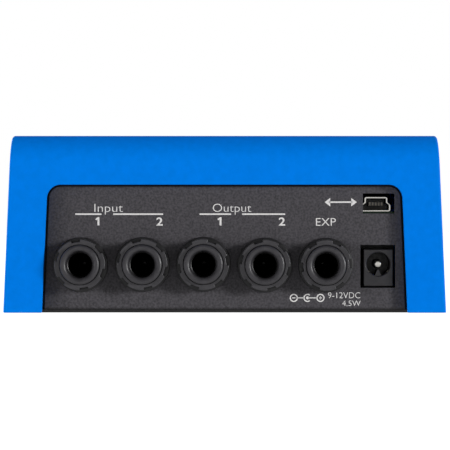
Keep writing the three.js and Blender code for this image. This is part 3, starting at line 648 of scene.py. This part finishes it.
def chassis_tray():
    """The bent sheet, with a raised cup round each screw and holes for the screws, jacks and sockets."""
    inset = WALL + 0.5
    tray = between_sides(tray_profile(), inset)
    join(tray, *at_screws(CUP_RADIUS, TRAY_UNDERSIDE + SHEET / 2, TRAY_TOP + CUP_RISE))
    cut(tray, *at_screws(CUP_RADIUS - SHEET, -1, TRAY_UNDERSIDE + CUP_RISE))
    cut(tray, *at_screws(SCREW_RADIUS + GAP, 0, TALL / 4, 32))
    through = (PANEL_BACK - 1, PANEL_FACE + 1)
    cut(tray, *[panel_drum(at.x, at.z, BUSH_RADIUS + GAP, *through) for at in jack_at],
        panel_block(DC_CUTOUT, *through), panel_block(USB_CUTOUT, *through))
    cut(tray, panel_seam())
    round_edges(tray, 0.1, 2, 60)
    finished(tray, "tray_and_rear_panel", "dark_powder_coat", "chassis_tray")


chassis_tray()

# ---- jacks

BORE_RADIUS = 3.17
BORE_DEPTH = 31.6
# The bell mouth: its inner radius, the width and depth of its rounding, and the shallow dish of the face.
MOUTH_RADIUS, MOUTH_ROUND, MOUTH_DEPTH, MOUTH_DISH, MOUTH_RIM = 3.42, 0.9, 1.5, 0.08, 4.6
THREAD_PITCH = 0.9
THREAD_DEPTH = 0.28
NUT_BORE, NUT_LOBE, NUT_NOTCH, NUT_FLANGE = 5.33, 6.75, 6.1, 7.3
NUT_FLANGE_THICK, NUT_LENGTH, NUT_NOTCHES, NUT_NOTCH_WIDTH = 0.9, 4.3, 6, 2.5


def jack_body():
    """One jack at the origin of X and Z: a housing behind the panel and a threaded bush with a bell mouth."""
    low, high = box_mm("jack_body_input_1")
    tip = high.y
    thread_end, rounding = tip - 0.9, 0.65
    housing_front = PANEL_BACK - GAP
    half_x, half_z = (high.x - low.x) / 2, (high.z - low.z) / 2
    housing = block((-half_x, -half_z, low.y), (half_x, half_z, housing_front), ON_PANEL)
    round_edges(housing, 0.5, 3, 60)
    crest, root = BUSH_RADIUS, BUSH_RADIUS - THREAD_DEPTH
    profile = [(0, housing_front - 3), (root, housing_front - 3)]
    along = housing_front + 0.4
    while along + THREAD_PITCH < thread_end:
        profile += [(root, along), (crest, along + THREAD_PITCH * 0.4), (crest, along + THREAD_PITCH * 0.6),
                    (root, along + THREAD_PITCH)]
        along += THREAD_PITCH + 0.02
    profile += [(root, tip - 0.75), (crest - 0.02, tip - 0.6)]
    profile += arc((crest - rounding, tip - rounding - 0.01), rounding, 0.15, math.pi / 2, 7)
    profile += [(0, tip - 0.01)]
    body = join(housing, revolve(profile, ON_PANEL, 96))
    bore_end = tip - BORE_DEPTH
    throat, throat_end = tip - 3.2, tip - 3.0
    bore = [(0, bore_end + 4), (BORE_RADIUS, bore_end), (BORE_RADIUS, throat), (MOUTH_RADIUS, throat_end)]
    bore += [(MOUTH_RADIUS + MOUTH_ROUND * (1 - c), tip - MOUTH_DISH - MOUTH_DEPTH * (1 - s))
             for c, s in arc((0, 0), 1, 0, math.pi * 0.47, 12)]
    bore += [(MOUTH_RIM, tip), (MOUTH_RIM, tip + 0.2), (0, tip + 0.2)]
    cut(body, revolve(bore, ON_PANEL, 96))
    slot_half = 1.8  # of the slot that lets the tip spring in
    return cut(body, block((-slot_half, 0, bore_end + 3.5), (slot_half, half_z + 3, bore_end + 12), ON_PANEL))


def polar(radius, degrees):
    angle = math.radians(degrees)
    return (radius * math.cos(angle), radius * math.sin(angle))


def jack_nut():
    """One ring nut at the origin of X and Z, with its first notch towards local +x."""
    flange_front = PANEL_FACE + NUT_FLANGE_THICK
    front = PANEL_FACE + NUT_LENGTH
    half_notch = math.degrees(math.asin(NUT_NOTCH_WIDTH / 2 / NUT_LOBE))
    outline = []
    for i in range(NUT_NOTCHES):
        centre = i * 360 / NUT_NOTCHES
        outline += [polar(NUT_NOTCH, centre + half_notch * t) for t in (-1, -0.5, 0, 0.5, 1)]
        start, end = centre + half_notch, centre + 360 / NUT_NOTCHES - half_notch
        outline += [polar(NUT_LOBE, start + (end - start) * k / 8) for k in range(9)]
    crown = prism(outline, flange_front - 0.3, front, ON_PANEL)
    round_edges(crown, 0.2, 3, 50)
    flange = revolve([(0, PANEL_FACE), (NUT_FLANGE - 0.15, PANEL_FACE), (NUT_FLANGE, PANEL_FACE + 0.15),
                      (NUT_FLANGE, flange_front - 0.25), (NUT_FLANGE - 0.08, flange_front - 0.08),
                      (NUT_FLANGE - 0.25, flange_front), (0, flange_front)], ON_PANEL, 96)
    nut = join(flange, crown)
    chamfer = 0.15
    bore = revolve([(0, PANEL_FACE - 1), (NUT_BORE, PANEL_FACE - 1), (NUT_BORE, front - chamfer),
                    (NUT_BORE + chamfer, front + 0.01), (NUT_BORE + 0.2, front + 1), (0, front + 1)],
                   ON_PANEL, 96)
    return cut(nut, bore)


def copy_of(obj, matrix):
    other = linked(obj.name, obj.data.copy())
    other.data.transform(matrix)
    return other


def jacks():
    """One body and one nut, copied to the five places."""
    body, nut = jack_body(), jack_nut()
    tip = jack_at[0].y
    flange_front, front = PANEL_FACE + NUT_FLANGE_THICK, PANEL_FACE + NUT_LENGTH
    # Painted shade deep in each bush's mouth and in the nut's notches, and painted light on their front
    # faces.
    bush_shade = (0.06, 1.42, tip - 2.2, tip)
    nut_shade = (0.36, 1.4, flange_front + 0.4, front - 0.4)
    bush_plastic = black_plastic("jack_plastic", "302F32", bush_shade)
    nut_plastic = black_plastic("nut_plastic", "323134", nut_shade)
    for name, at, turn, seat in zip(JACKS, jack_at, NUT_TURNS, JACK_SEATS):
        move = Matrix.Translation((at.x + seat[0], 0, at.z + seat[1]))
        spin = Matrix.Rotation(math.radians(turn), 4, "Y")
        finished(copy_of(body, move), f"jack_{name}", "black_plastic", f"jack_body_{name}",
                 material=bush_plastic)
        finished(copy_of(nut, move @ spin), f"ring_nut_{name}", "black_plastic", f"jack_nut_{name}",
                 material=nut_plastic)
    bpy.data.objects.remove(body)
    bpy.data.objects.remove(nut)


jacks()

# ---- supply socket

DC_BORE, DC_BORE_DEPTH, DC_CENTRE_Z = 3.16, 9.5, 12.9
# Where the two leaf tips of the sleeve contact show in the bore, and half the width of a tip and of its slot.
CONTACT_ANGLES = (-38, -142)
LEAF_HALF, LEAF_SLOT_HALF = 0.2, 0.3


def dc_socket():
    """The housing with its bore and rib, the leaf tips of the sleeve contact in their slots, and the pin."""
    low, high = box_mm("dc_jack_housing")
    x, z = (low.x + high.x) / 2, DC_CENTRE_Z
    centre = Matrix.Translation((x, 0, z))
    housing = block((-high.x, low.z, low.y), (-low.x, high.z, high.y), ON_PANEL)
    round_edges(housing, 0.25, 3, 60)
    face, chamfer = high.y, 0.25
    bore = revolve([(0, face - DC_BORE_DEPTH), (DC_BORE, face - DC_BORE_DEPTH), (DC_BORE, face - chamfer),
                    (DC_BORE + chamfer, face + 0.01), (DC_BORE + 0.3, face + 1), (0, face + 1)],
                   centre @ ON_PANEL, 80)
    cut(housing, bore)
    # The rib that rises from the bottom of the bore towards the pin.
    rib_half, rib_tip_half = 1.15, 0.15
    rib_foot, rib_top = z - DC_BORE - 0.4, z - DC_BORE + 1.65
    rib = prism([(-x - rib_half, rib_foot), (-x + rib_half, rib_foot), (-x + rib_tip_half, rib_top),
                 (-x - rib_tip_half, rib_top)], face - 7.5, face - 0.4, ON_PANEL)
    join(housing, rib)
    leaves = []
    for degrees in CONTACT_ANGLES:
        spin = centre @ Matrix.Rotation(math.radians(degrees), 4, "Y") @ ON_PANEL
        cut(housing, block((DC_BORE - 0.6, -LEAF_SLOT_HALF, face - 7.4),
                           (DC_BORE + 0.25, LEAF_SLOT_HALF, face + 1), spin))
        leaves.append(block((DC_BORE - 0.12, -LEAF_HALF, face - 7),
                            (DC_BORE + 0.15, LEAF_HALF, face - 1.1), spin))
    cut(housing, panel_drum(x, z, 1.3, low.y - 1, face - 2, 32))
    # The housing's plastic has painted shade inside the bore.
    finished(housing, "supply_socket_housing", "black_plastic", "dc_jack_housing",
             material=black_plastic("socket_plastic", "2E2D30", (0.1, 1.0, face - 2.2, face - 0.6)))
    finished(merged(leaves), "supply_socket_contacts", "brass", "dc_jack_spring",
             material=CONTACTS_IN_PAINTED_SHADE)
    pin_low, pin_high = box_mm("dc_jack_pin")
    tip, rounding = pin_high.y, 0.4
    radius = (pin_high.x - pin_low.x) / 2
    pin = revolve([(0, pin_low.y), (radius, pin_low.y)]
                  + arc((radius - rounding, tip - rounding), rounding, 0, math.pi / 2, 7) + [(0, tip)],
                  centre @ ON_PANEL, 48)
    finished(pin, "supply_socket_pin", "nickel", "dc_jack_pin")


dc_socket()

# ---- USB socket

USB_TOP_WIDTH, USB_SHEET = 6.1, 0.38
# Above the shell's foot: the tongue, and the contact strips let into it.
TONGUE_HALF, TONGUE_BOTTOM, TONGUE_TOP = 2.0, 1.5, 2.6
STRIP_COUNT, STRIP_PITCH, STRIP_HALF, STRIP_BOTTOM, STRIP_TOP = 5, 0.8, 0.2, 1.62, 2.48


def usb_outline(x, bottom, width, top_width, height, inset, steps=4):
    """Mini USB mouth: wide and rounded at the bottom, S-shaped sides, narrower top. Local x is -X."""
    half, top_half = width / 2 - inset, top_width / 2 - inset
    low, high = bottom + inset, bottom + height - inset
    r = max(0.15, 0.55 - inset)  # the corners' radius
    right = arc((half - r, low + r), r, -math.pi / 2, 0, steps)
    waist_low, waist_high = low + (high - low) * 0.42, low + (high - low) * 0.66
    bend = half - top_half
    for i in range(steps + 1):
        t = i / steps
        s = t * t * (3 - 2 * t)
        right.append((half - bend * s, waist_low + (waist_high - waist_low) * t))
    right += arc((top_half - r, high - r), r, 0, math.pi / 2, steps)
    left = [(-a, b) for a, b in reversed(right)]
    return [(-x + a, b) for a, b in right + left]


def usb_socket():
    low, high = box_mm("usb_shell")
    x = (low.x + high.x) / 2
    size = (x, low.z, high.x - low.x, USB_TOP_WIDTH, high.z - low.z)
    mouth = high.y
    shell = prism(usb_outline(*size, 0.0), low.y, mouth, ON_PANEL)
    cut(shell, prism(usb_outline(*size, USB_SHEET), low.y - 1, mouth + 1, ON_PANEL))
    round_edges(shell, 0.06, 2, 60)
    finished(shell, "usb_socket_shell", "nickel", "usb_shell")
    insert = prism(usb_outline(*size, 0.6), low.y + 0.2, low.y + 2.4, ON_PANEL)
    tongue = block((-x - TONGUE_HALF, low.z + TONGUE_BOTTOM, low.y + 1),
                   (-x + TONGUE_HALF, low.z + TONGUE_TOP, mouth - 1.2), ON_PANEL)
    round_edges(tongue, 0.15, 2, 60)
    finished(join(insert, tongue), "usb_socket_tongue", "black_plastic", "usb_insert")
    strips = []
    for i in range(STRIP_COUNT):
        centre = -x + (i - STRIP_COUNT // 2) * STRIP_PITCH
        strips.append(block((centre - STRIP_HALF, low.z + STRIP_BOTTOM, low.y + 2.5),
                            (centre + STRIP_HALF, low.z + STRIP_TOP, mouth - 1.1), ON_PANEL))
    finished(merged(strips), "usb_socket_contacts", "brass", material=CONTACTS_IN_PAINTED_SHADE)


usb_socket()

# ---- printed labels

INK = 0.03
RULE = 0.4
# Baselines and cap heights of the words and of the numerals under them, and the height of the rules between.
WORDS_Z, WORDS_CAP, NUMERALS_Z, NUMERALS_CAP, RULES_Z = 26.8, 2.33, 23.2, 2.2, 26.2
# How far the outline of a letter of size 1 is moved outwards.
LIGHT, SEMI, BOLD = -0.012, -0.008, 0.02
FONT_CAP = 0.73


def text_mesh(words, left, right, bottom, cap_height, weight=0.0):
    """Words in the built-in font, fitted between two X values on the panel, on a baseline."""
    curve = bpy.data.curves.new("label", "FONT")
    curve.body = words
    curve.size = 1
    curve.offset = weight
    curve.resolution_u = 4
    obj = linked("label", curve)
    graph = bpy.context.evaluated_depsgraph_get()
    mesh = bpy.data.meshes.new_from_object(obj.evaluated_get(graph))
    bpy.data.objects.remove(obj)
    xs = [v.co.x for v in mesh.vertices]
    scale = Matrix.Diagonal(((left - right) / (max(xs) - min(xs)), cap_height / FONT_CAP, 1, 1))
    shift = Matrix.Translation((-left, bottom, PANEL_FACE)) @ scale @ Matrix.Translation((-min(xs), 0, 0))
    mesh.transform(ON_PANEL @ shift)
    return thickened(linked("label", mesh))


def thickened(obj):
    """Gives a flat face its thickness of ink."""
    bm = bmesh.new()
    bm.from_mesh(obj.data)
    bmesh.ops.remove_doubles(bm, verts=bm.verts, dist=1e-4)
    bmesh.ops.dissolve_degenerate(bm, dist=1e-5, edges=bm.edges)
    made = bmesh.ops.extrude_face_region(bm, geom=list(bm.faces))
    moved = [g for g in made["geom"] if isinstance(g, bmesh.types.BMVert)]
    bmesh.ops.translate(bm, verts=moved, vec=(0, INK, 0))
    bmesh.ops.recalc_face_normals(bm, faces=bm.faces)
    bm.to_mesh(obj.data)
    bm.free()
    return obj


def bar(left, right, z, thick):
    return block((-left, z - thick / 2, PANEL_FACE), (-right, z + thick / 2, PANEL_FACE + INK), ON_PANEL)


def ring_sector(x, z, radius, stroke, start=0.0, end=360.0, steps=40):
    """A ring, or part of one, round (x, z). Angles run from the reader's right, anticlockwise."""
    if end - start >= 360:
        return revolve([(radius - stroke / 2, PANEL_FACE), (radius + stroke / 2, PANEL_FACE),
                        (radius + stroke / 2, PANEL_FACE + INK), (radius - stroke / 2, PANEL_FACE + INK)],
                       Matrix.Translation((x, 0, z)) @ ON_PANEL, steps, ring=True)
    outer = arc((-x, z), radius + stroke / 2, math.radians(start), math.radians(end), steps)
    inner = arc((-x, z), radius - stroke / 2, math.radians(end), math.radians(start), steps)
    return prism(outer + inner, PANEL_FACE, PANEL_FACE + INK, ON_PANEL)


def numeral_one(left, right, bottom, height):
    """A bold 1 with a flag, read towards -X."""
    stem = (left - right) * 0.48
    outline = [(-right - stem, bottom), (-right, bottom), (-right, bottom + height),
               (-right - stem * 0.8, bottom + height), (-left, bottom + height * 0.78),
               (-left + 0.12, bottom + height * 0.62), (-right - stem, bottom + height * 0.72)]
    return prism(outline, PANEL_FACE, PANEL_FACE + INK, ON_PANEL)


def jack_labels():
    return [
        text_mesh("Input", 34.7, 27.1, WORDS_Z, WORDS_CAP, LIGHT),
        bar(39.8, 32.8, RULES_Z, RULE), bar(29.7, 16.4, RULES_Z, RULE),
        numeral_one(34.42, 33.37, NUMERALS_Z, NUMERALS_CAP),
        text_mesh("2", 18.2, 16.5, NUMERALS_Z, NUMERALS_CAP, BOLD),
        text_mesh("Output", 3.18, -7.07, WORDS_Z, WORDS_CAP, LIGHT),
        bar(6.7, -1.7, RULES_Z, RULE), bar(-4.6, -16.1, RULES_Z, RULE),
        numeral_one(1.9, 0.85, NUMERALS_Z, NUMERALS_CAP),
        text_mesh("2", -14.4, -16.1, NUMERALS_Z, NUMERALS_CAP, BOLD),
        text_mesh("EXP", -24.3, -29.6, 23.1, NUMERALS_CAP, -0.005),
    ]


def polarity_mark():
    """Minus, the open ring of the socket with its pin, and plus, joined by two lines."""
    z, radius, stroke = 3.9, 0.93, 0.32
    line, reach = 0.25, 0.4
    minus, centre, plus = -18.4, -22.05, -25.5
    return [
        ring_sector(minus, z, radius, stroke), bar(minus + reach, minus - reach, z, line),
        bar(minus - radius, centre + radius, z, line),
        ring_sector(centre, z, radius, stroke, 50, 310),
        panel_drum(centre, z, 0.4, PANEL_FACE, PANEL_FACE + INK, 24),
        bar(centre - 0.3, plus + radius, z, line),
        ring_sector(plus, z, radius, stroke), bar(plus + reach, plus - reach, z, line),
        block((-plus - 0.12, z - reach, PANEL_FACE), (-plus + 0.12, z + reach, PANEL_FACE + INK), ON_PANEL),
    ]


def supply_labels():
    return [
        text_mesh("9-12VDC", -27.5, -36.1, 3.8, 1.7, SEMI),
        text_mesh("4.5W", -31.28, -36.2, 1.75, 1.55, SEMI),
    ]


def data_mark():
    """A plain two-way arrow for the data socket."""
    left, right, z, head = -26.6, -35.2, 29.4, 1.5
    marks = [bar(left - head * 0.8, right + head * 0.8, z, 0.4)]
    for tip, way in ((left, 1), (right, -1)):
        outline = [(-tip, z), (-tip + way * head, z + head * 0.75), (-tip + way * head, z - head * 0.75)]
        marks.append(prism(outline, PANEL_FACE, PANEL_FACE + INK, ON_PANEL))
    return marks


finished(merged(jack_labels()), "print_jack_labels", "label_ink")
finished(merged(polarity_mark()), "print_polarity_mark", "label_ink")
finished(merged(supply_labels()), "print_supply_labels", "label_ink")
finished(merged(data_mark()), "print_data_mark", "label_ink")

# ---- top controls


def chamfered_hex(at, across, low, high, bore):
    """A hexagon nut with turned corners and a bore, on the top."""
    place_at = standing(at)
    corner = across / math.sqrt(3)
    nut = prism([polar(corner, 30 + 60 * i) for i in range(6)], low, high, place_at)
    flat_radius, corner_radius, chamfer = across / 2 * 0.99, corner * 1.01, 0.35
    turned = revolve([(0, low), (flat_radius, low), (corner_radius, low + chamfer),
                      (corner_radius, high - chamfer), (flat_radius, high), (0, high)], place_at, 72)
    boolean(nut, [turned], "INTERSECT")
    cut(nut, drum(at, bore, low - 1, high + 1))
    return round_edges(nut, 0.08, 2, 60)


def knob():
    """The fluted, hollow knob, and its insert with fine turned rings."""
    at = standing(knob_at)
    radius, lift, height, hollow, roof, seat = 13.0, 1.0, 7.17, 10.0, 3.7, 10.25
    waist, rounding = radius - 0.35, 0.95
    seat_bottom = height - 0.9
    body = revolve([(0, roof), (hollow, roof), (hollow, lift), (waist, lift), (radius, lift + 0.35),
                    (waist, height - 1.1)]
                   + arc((waist - rounding, height - rounding), rounding, 0.1, math.pi / 2, 8)
                   + [(seat + 0.1, height), (seat, height - 0.1), (seat, seat_bottom), (0, seat_bottom)],
                   at, 144)
    flute_count, flute = 40, 0.55
    flutes = []
    for i in range(flute_count):
        x, y = polar(radius + 0.3, i * 360 / flute_count)
        flutes.append(revolve([(0, lift + 0.9), (flute, lift + 1.3), (flute, height - 1.9),
                               (0, height - 1.5)], at @ Matrix.Translation((x, y, 0)), 12))
    cut(body, merged(flutes))
    shaft_hole, shaft_hole_top = 3.2, 5.9
    cut(body, drum(knob_at, shaft_hole, roof - 1, shaft_hole_top, steps=48))
    finished(body, "main_knob_body", "soft_black_plastic", "main_knob", body="knob")
    rim, top, thick = 10.0, height - 0.1, 0.6
    pitch, groove = 0.5, 0.03
    rings = [(rim - 0.25 - pitch * k, top - groove * (k % 2)) for k in range(1, 19)]
    cap = revolve([(0, top - thick), (rim, top - thick), (rim, top - 0.2), (rim - 0.2, top)]
                  + rings + [(0, top)], at, 120)
    finished(cap, "main_knob_insert", "aluminium", "knob_insert", body="knob")


def top_trim():
    """The light ring, the three hexagon nuts and the four button caps."""
    edge = 0.15
    ring = revolve([(RING_INNER, -RING_DEPTH), (RING_OUTER, -RING_DEPTH), (RING_OUTER, RING_PROUD - edge),
                    (RING_OUTER - edge, RING_PROUD), (RING_INNER + edge, RING_PROUD),
                    (RING_INNER, RING_PROUD - edge)], standing(knob_at), 128, ring=True)
    finished(ring, "knob_light_ring", "diffuser", "light_ring")
    finished(chamfered_hex(knob_at, 12, 0.3, 2.1, 4.8), "encoder_hex_nut", "nickel", "encoder_nut")
    for side, at in footswitch_at.items():
        nut = chamfered_hex(at, 15.5, 0.05, 2.6, FOOTSWITCH_BUSH + 0.06)
        finished(nut, f"footswitch_hex_nut_{side}", "nickel", f"footswitch_nut_{side}")
    stem, stem_bottom = 2, -4.4
    # The flange that keeps a cap under the cover, with its edges broken by 0.1.
    flange, flange_bottom, flange_top = 5.6, -3.4, -2.4
    shoulder, rise, rounding = BUTTON_RADIUS - 0.5, BUTTON_PROUD - 0.5, 0.5
    profile = [(0, stem_bottom), (stem, stem_bottom), (stem, flange_bottom), (flange - 0.1, flange_bottom),
               (flange, flange_bottom + 0.1), (flange, flange_top - 0.1), (flange - 0.1, flange_top),
               (BUTTON_RADIUS, flange_top), (BUTTON_RADIUS, rise)]
    profile += on_circle(shoulder, rise, rounding, (0.3, 0.6, 0.9, 1.2, 1.5))
    profile += [(3.2, BUTTON_PROUD - 0.08), (0, BUTTON_PROUD - 0.25)]
    for i, at in enumerate(button_at, 1):
        cap = revolve(profile, standing(at), 72)
        finished(cap, f"button_{i}_cap", "soft_black_plastic", f"button_cap_{i}", body=f"button_{i}")


def footswitch_bodies():
    """A black switch housing under the top, with a threaded metal bush that stands through it."""
    half, bottom, roof = 8.0, -22.0, -WALL - GAP
    bush, bush_bottom, bush_top = FOOTSWITCH_BUSH, -5.0, 4.2
    bore, bore_bottom = FOOTSWITCH_PLUNGER + GAP, -9.0
    for side, at in footswitch_at.items():
        centre = standing(at)
        housing = block((-half, -half, bottom), (half, half, roof), centre)
        round_edges(housing, 0.4, 2, 60)
        cut(housing, revolve([(0, bore_bottom), (bore, bore_bottom), (bore, bush_bottom - 0.02),
                              (bush + 0.02, bush_bottom - 0.02), (bush + 0.02, roof + 1), (0, roof + 1)],
                             centre, 72))
        finished(housing, f"footswitch_{side}_housing", "soft_black_plastic",
                 f"footswitch_body_{side}")
        root, along = bush - 0.25, bush_bottom + 0.4
        profile = [(bore, bush_bottom), (root, bush_bottom)]
        while along < bush_top - 0.8:
            profile += [(root, along), (bush, along + 0.3), (root, along + 0.6)]
            along += 0.7
        profile += [(bush - 0.3, bush_top), (bore + 0.3, bush_top), (bore, bush_top - 0.3)]
        finished(revolve(profile, centre, 96, ring=True), f"footswitch_{side}_bush", "nickel",
                 f"footswitch_body_{side}")


def footswitch_plungers():
    radius, top, bottom, rounding = FOOTSWITCH_PLUNGER, 9.0, -6.0, 1.1
    profile = [(0, bottom), (radius - 0.25, bottom), (radius, bottom + 0.25), (radius, top - 1.2)]
    profile += on_circle(radius - rounding, top - 1.15, rounding, (0.25, 0.5, 0.75, 1.0, 1.25, 1.5))
    profile += [(0, top - 0.02)]
    for side, at in footswitch_at.items():
        cap = revolve(profile, standing(at), 72)
        finished(cap, f"footswitch_{side}_cap", "nickel", f"footswitch_plunger_{side}",
                 body=f"footswitch_{side}")


def display():
    x, y = display_at.x, display_at.y
    hw, hh = DISPLAY_WIDTH / 2 - GAP, DISPLAY_HEIGHT / 2 - GAP
    window = block((x - hw, y - hh, -0.8), (x + hw, y + hh, -0.05), ON_TOP)
    round_edges(window, 0.2, 2, 60)
    finished(window, "display_glass_window", "display_glass", "display_window")


def cover_screws():
    """Cross-recessed pan heads, seen from below, on threaded shanks."""
    thick, rounding, root = 1.6, 0.6, SCREW_RADIUS - 0.22
    for corner, at in screws.items():
        low, high = box_mm(f"cover_screw_{corner}")
        head, bottom = (high.x - low.x) / 2, low.z
        profile = [(0, bottom), (head - 0.5, bottom)]
        profile += [(head - rounding + rounding * math.sin(a), bottom + rounding - rounding * math.cos(a))
                    for a in (0.6, 1.1, 1.57)]
        profile += [(head, bottom + thick), (SCREW_RADIUS, bottom + thick)]
        along = bottom + thick + 0.4
        while along < high.z - 1.2:
            profile += [(root, along), (SCREW_RADIUS, along + 0.25), (root, along + 0.5)]
            along += 0.6
        profile += [(0.5, high.z - 0.1), (0, high.z)]
        at_screw = Matrix.Translation((at.x, at.y, 0))
        screw = revolve(profile, at_screw, 48)
        for turn in (0, 90):
            arm = block((-1.45, -0.32, bottom - 1), (1.45, 0.32, bottom + 1.0),
                        at_screw @ Matrix.Rotation(math.radians(turn + 20), 4, "Z"))
            cut(screw, arm)
        finished(screw, f"screw_{corner}", "zinc_steel", f"cover_screw_{corner}")


knob()
top_trim()
footswitch_bodies()
footswitch_plungers()
display()
cover_screws()

# ---- inner pieces that stay as they are

for piece in frame["record"]["subparts"]:
    node = frame["nodes"][piece["node"]]
    node.data.materials.clear()
    node.data.materials.append(MATERIALS[piece["material_slot"]])

# ---- studio

# The lights on the user's side are a little cooler than the rear ones.
COOL = (0.78, 0.84, 1.0)


def world_light():
    """White at the height of the eye, dimmer overhead and underfoot."""
    world = bpy.data.worlds.new("studio")
    bpy.context.scene.world = world
    world.use_nodes = True
    nodes, links = world.node_tree.nodes, world.node_tree.links
    direction = nodes.new("ShaderNodeTexCoord").outputs["Generated"]
    split = nodes.new("ShaderNodeSeparateXYZ")
    links.new(direction, split.inputs["Vector"])
    product = nodes.new("ShaderNodeMath")
    product.operation = "MULTIPLY"
    # From one height to another, the light goes from one strength to another.
    overhead, underfoot = (0.085, 0.14, 1.0, 0.05), (-0.12, -0.04, 0.45, 1.0)
    for i, ramp in enumerate((overhead, underfoot)):
        links.new(map_range(world.node_tree, split.outputs["Z"], *ramp), product.inputs[i])
    links.new(product.outputs[0], nodes["Background"].inputs["Strength"])
    nodes["Background"].inputs["Color"].default_value = (1, 1, 1, 1)


def area_light(name, azimuth, elevation, distance, size, power, tint=(1, 1, 1)):
    """A round soft light aimed at the object. Azimuth 0 is on the user's side, 180 behind the panel."""
    a, e = math.radians(azimuth), math.radians(elevation)
    away = Vector((math.sin(a) * math.cos(e), -math.cos(a) * math.cos(e), math.sin(e)))
    data = bpy.data.lights.new(name, "AREA")
    data.shape = "DISK"
    data.size = size
    data.energy = power
    data.color = tint
    light = linked(name, data)
    middle_height = 0.02
    light.location = away * distance + Vector((0, 0, middle_height))
    light.rotation_euler = away.to_track_quat("Z", "Y").to_euler()
    return light


def floor():
    """A pale round floor. It glows, but not under the object nor close to its sides, which leaves a painted
    shadow there.
    """
    side_margin, glow_start, glow_end = 8.0, -0.012, -0.0075
    s = Shader("pale_floor", (0.35, 0.35, 0.35, 1), 0.8, specular=0.0)
    s.vary_color(s.noise(400, 2), 0.99, 1.0)
    mirrored = s.nodes.new("ShaderNodeVectorMath")
    mirrored.operation = "ABSOLUTE"
    s.link(s.position, mirrored.inputs[0])
    beyond = s.nodes.new("ShaderNodeVectorMath")
    beyond.operation = "SUBTRACT"
    beyond.inputs[1].default_value = ((HALF_WIDTH + side_margin) * MM, REAR_Y * MM, 0)
    s.link(mirrored.outputs["Vector"], beyond.inputs[0])
    s.position = beyond.outputs["Vector"]
    away = s.larger(s.axes()["X"], s.axes()["Y"])
    s.bsdf.inputs["Emission Color"].default_value = (1, 1, 1, 1)
    # The glow fades out near the object: a painted contact shadow.
    s.link(s.ranged(away, 0.0, 1.0, glow_start, glow_end), s.bsdf.inputs["Emission Strength"])
    bm = bmesh.new()
    bmesh.ops.create_circle(bm, cap_ends=True, segments=96, radius=7.0)
    mesh = bpy.data.meshes.new("floor")
    bm.to_mesh(mesh)
    bm.free()
    ground = linked("floor", mesh)
    ground.location.z = -0.0002
    ground.visible_diffuse = False
    ground.visible_glossy = False
    ground.data.materials.append(s.material)


def camera():
    data = bpy.data.cameras.new("camera")
    data.sensor_width = 36
    data.lens = 226
    data.clip_start = 0.01
    data.clip_end = 30
    cam = linked("camera", data)
    cam.location = (-0.00008, REAR_Y * MM + 0.75, 0.02331)
    cam.rotation_euler = (math.pi / 2, 0, math.pi)
    bpy.context.scene.camera = cam


world_light()
# This light grazes the panel from one side, and is kept out of reflections.
area_light("rear_left", 113, 5, 2.6, 0.8, 49).visible_glossy = False
area_light("rear_right", 240, 9, 2.6, 0.5, 46)
area_light("front_left", 320, 40, 2.8, 1.2, 21, COOL)
area_light("front_right", 50, 30, 2.8, 1.0, 13, COOL)
floor()
camera()
bpy.context.scene.view_settings.view_transform = "Standard"
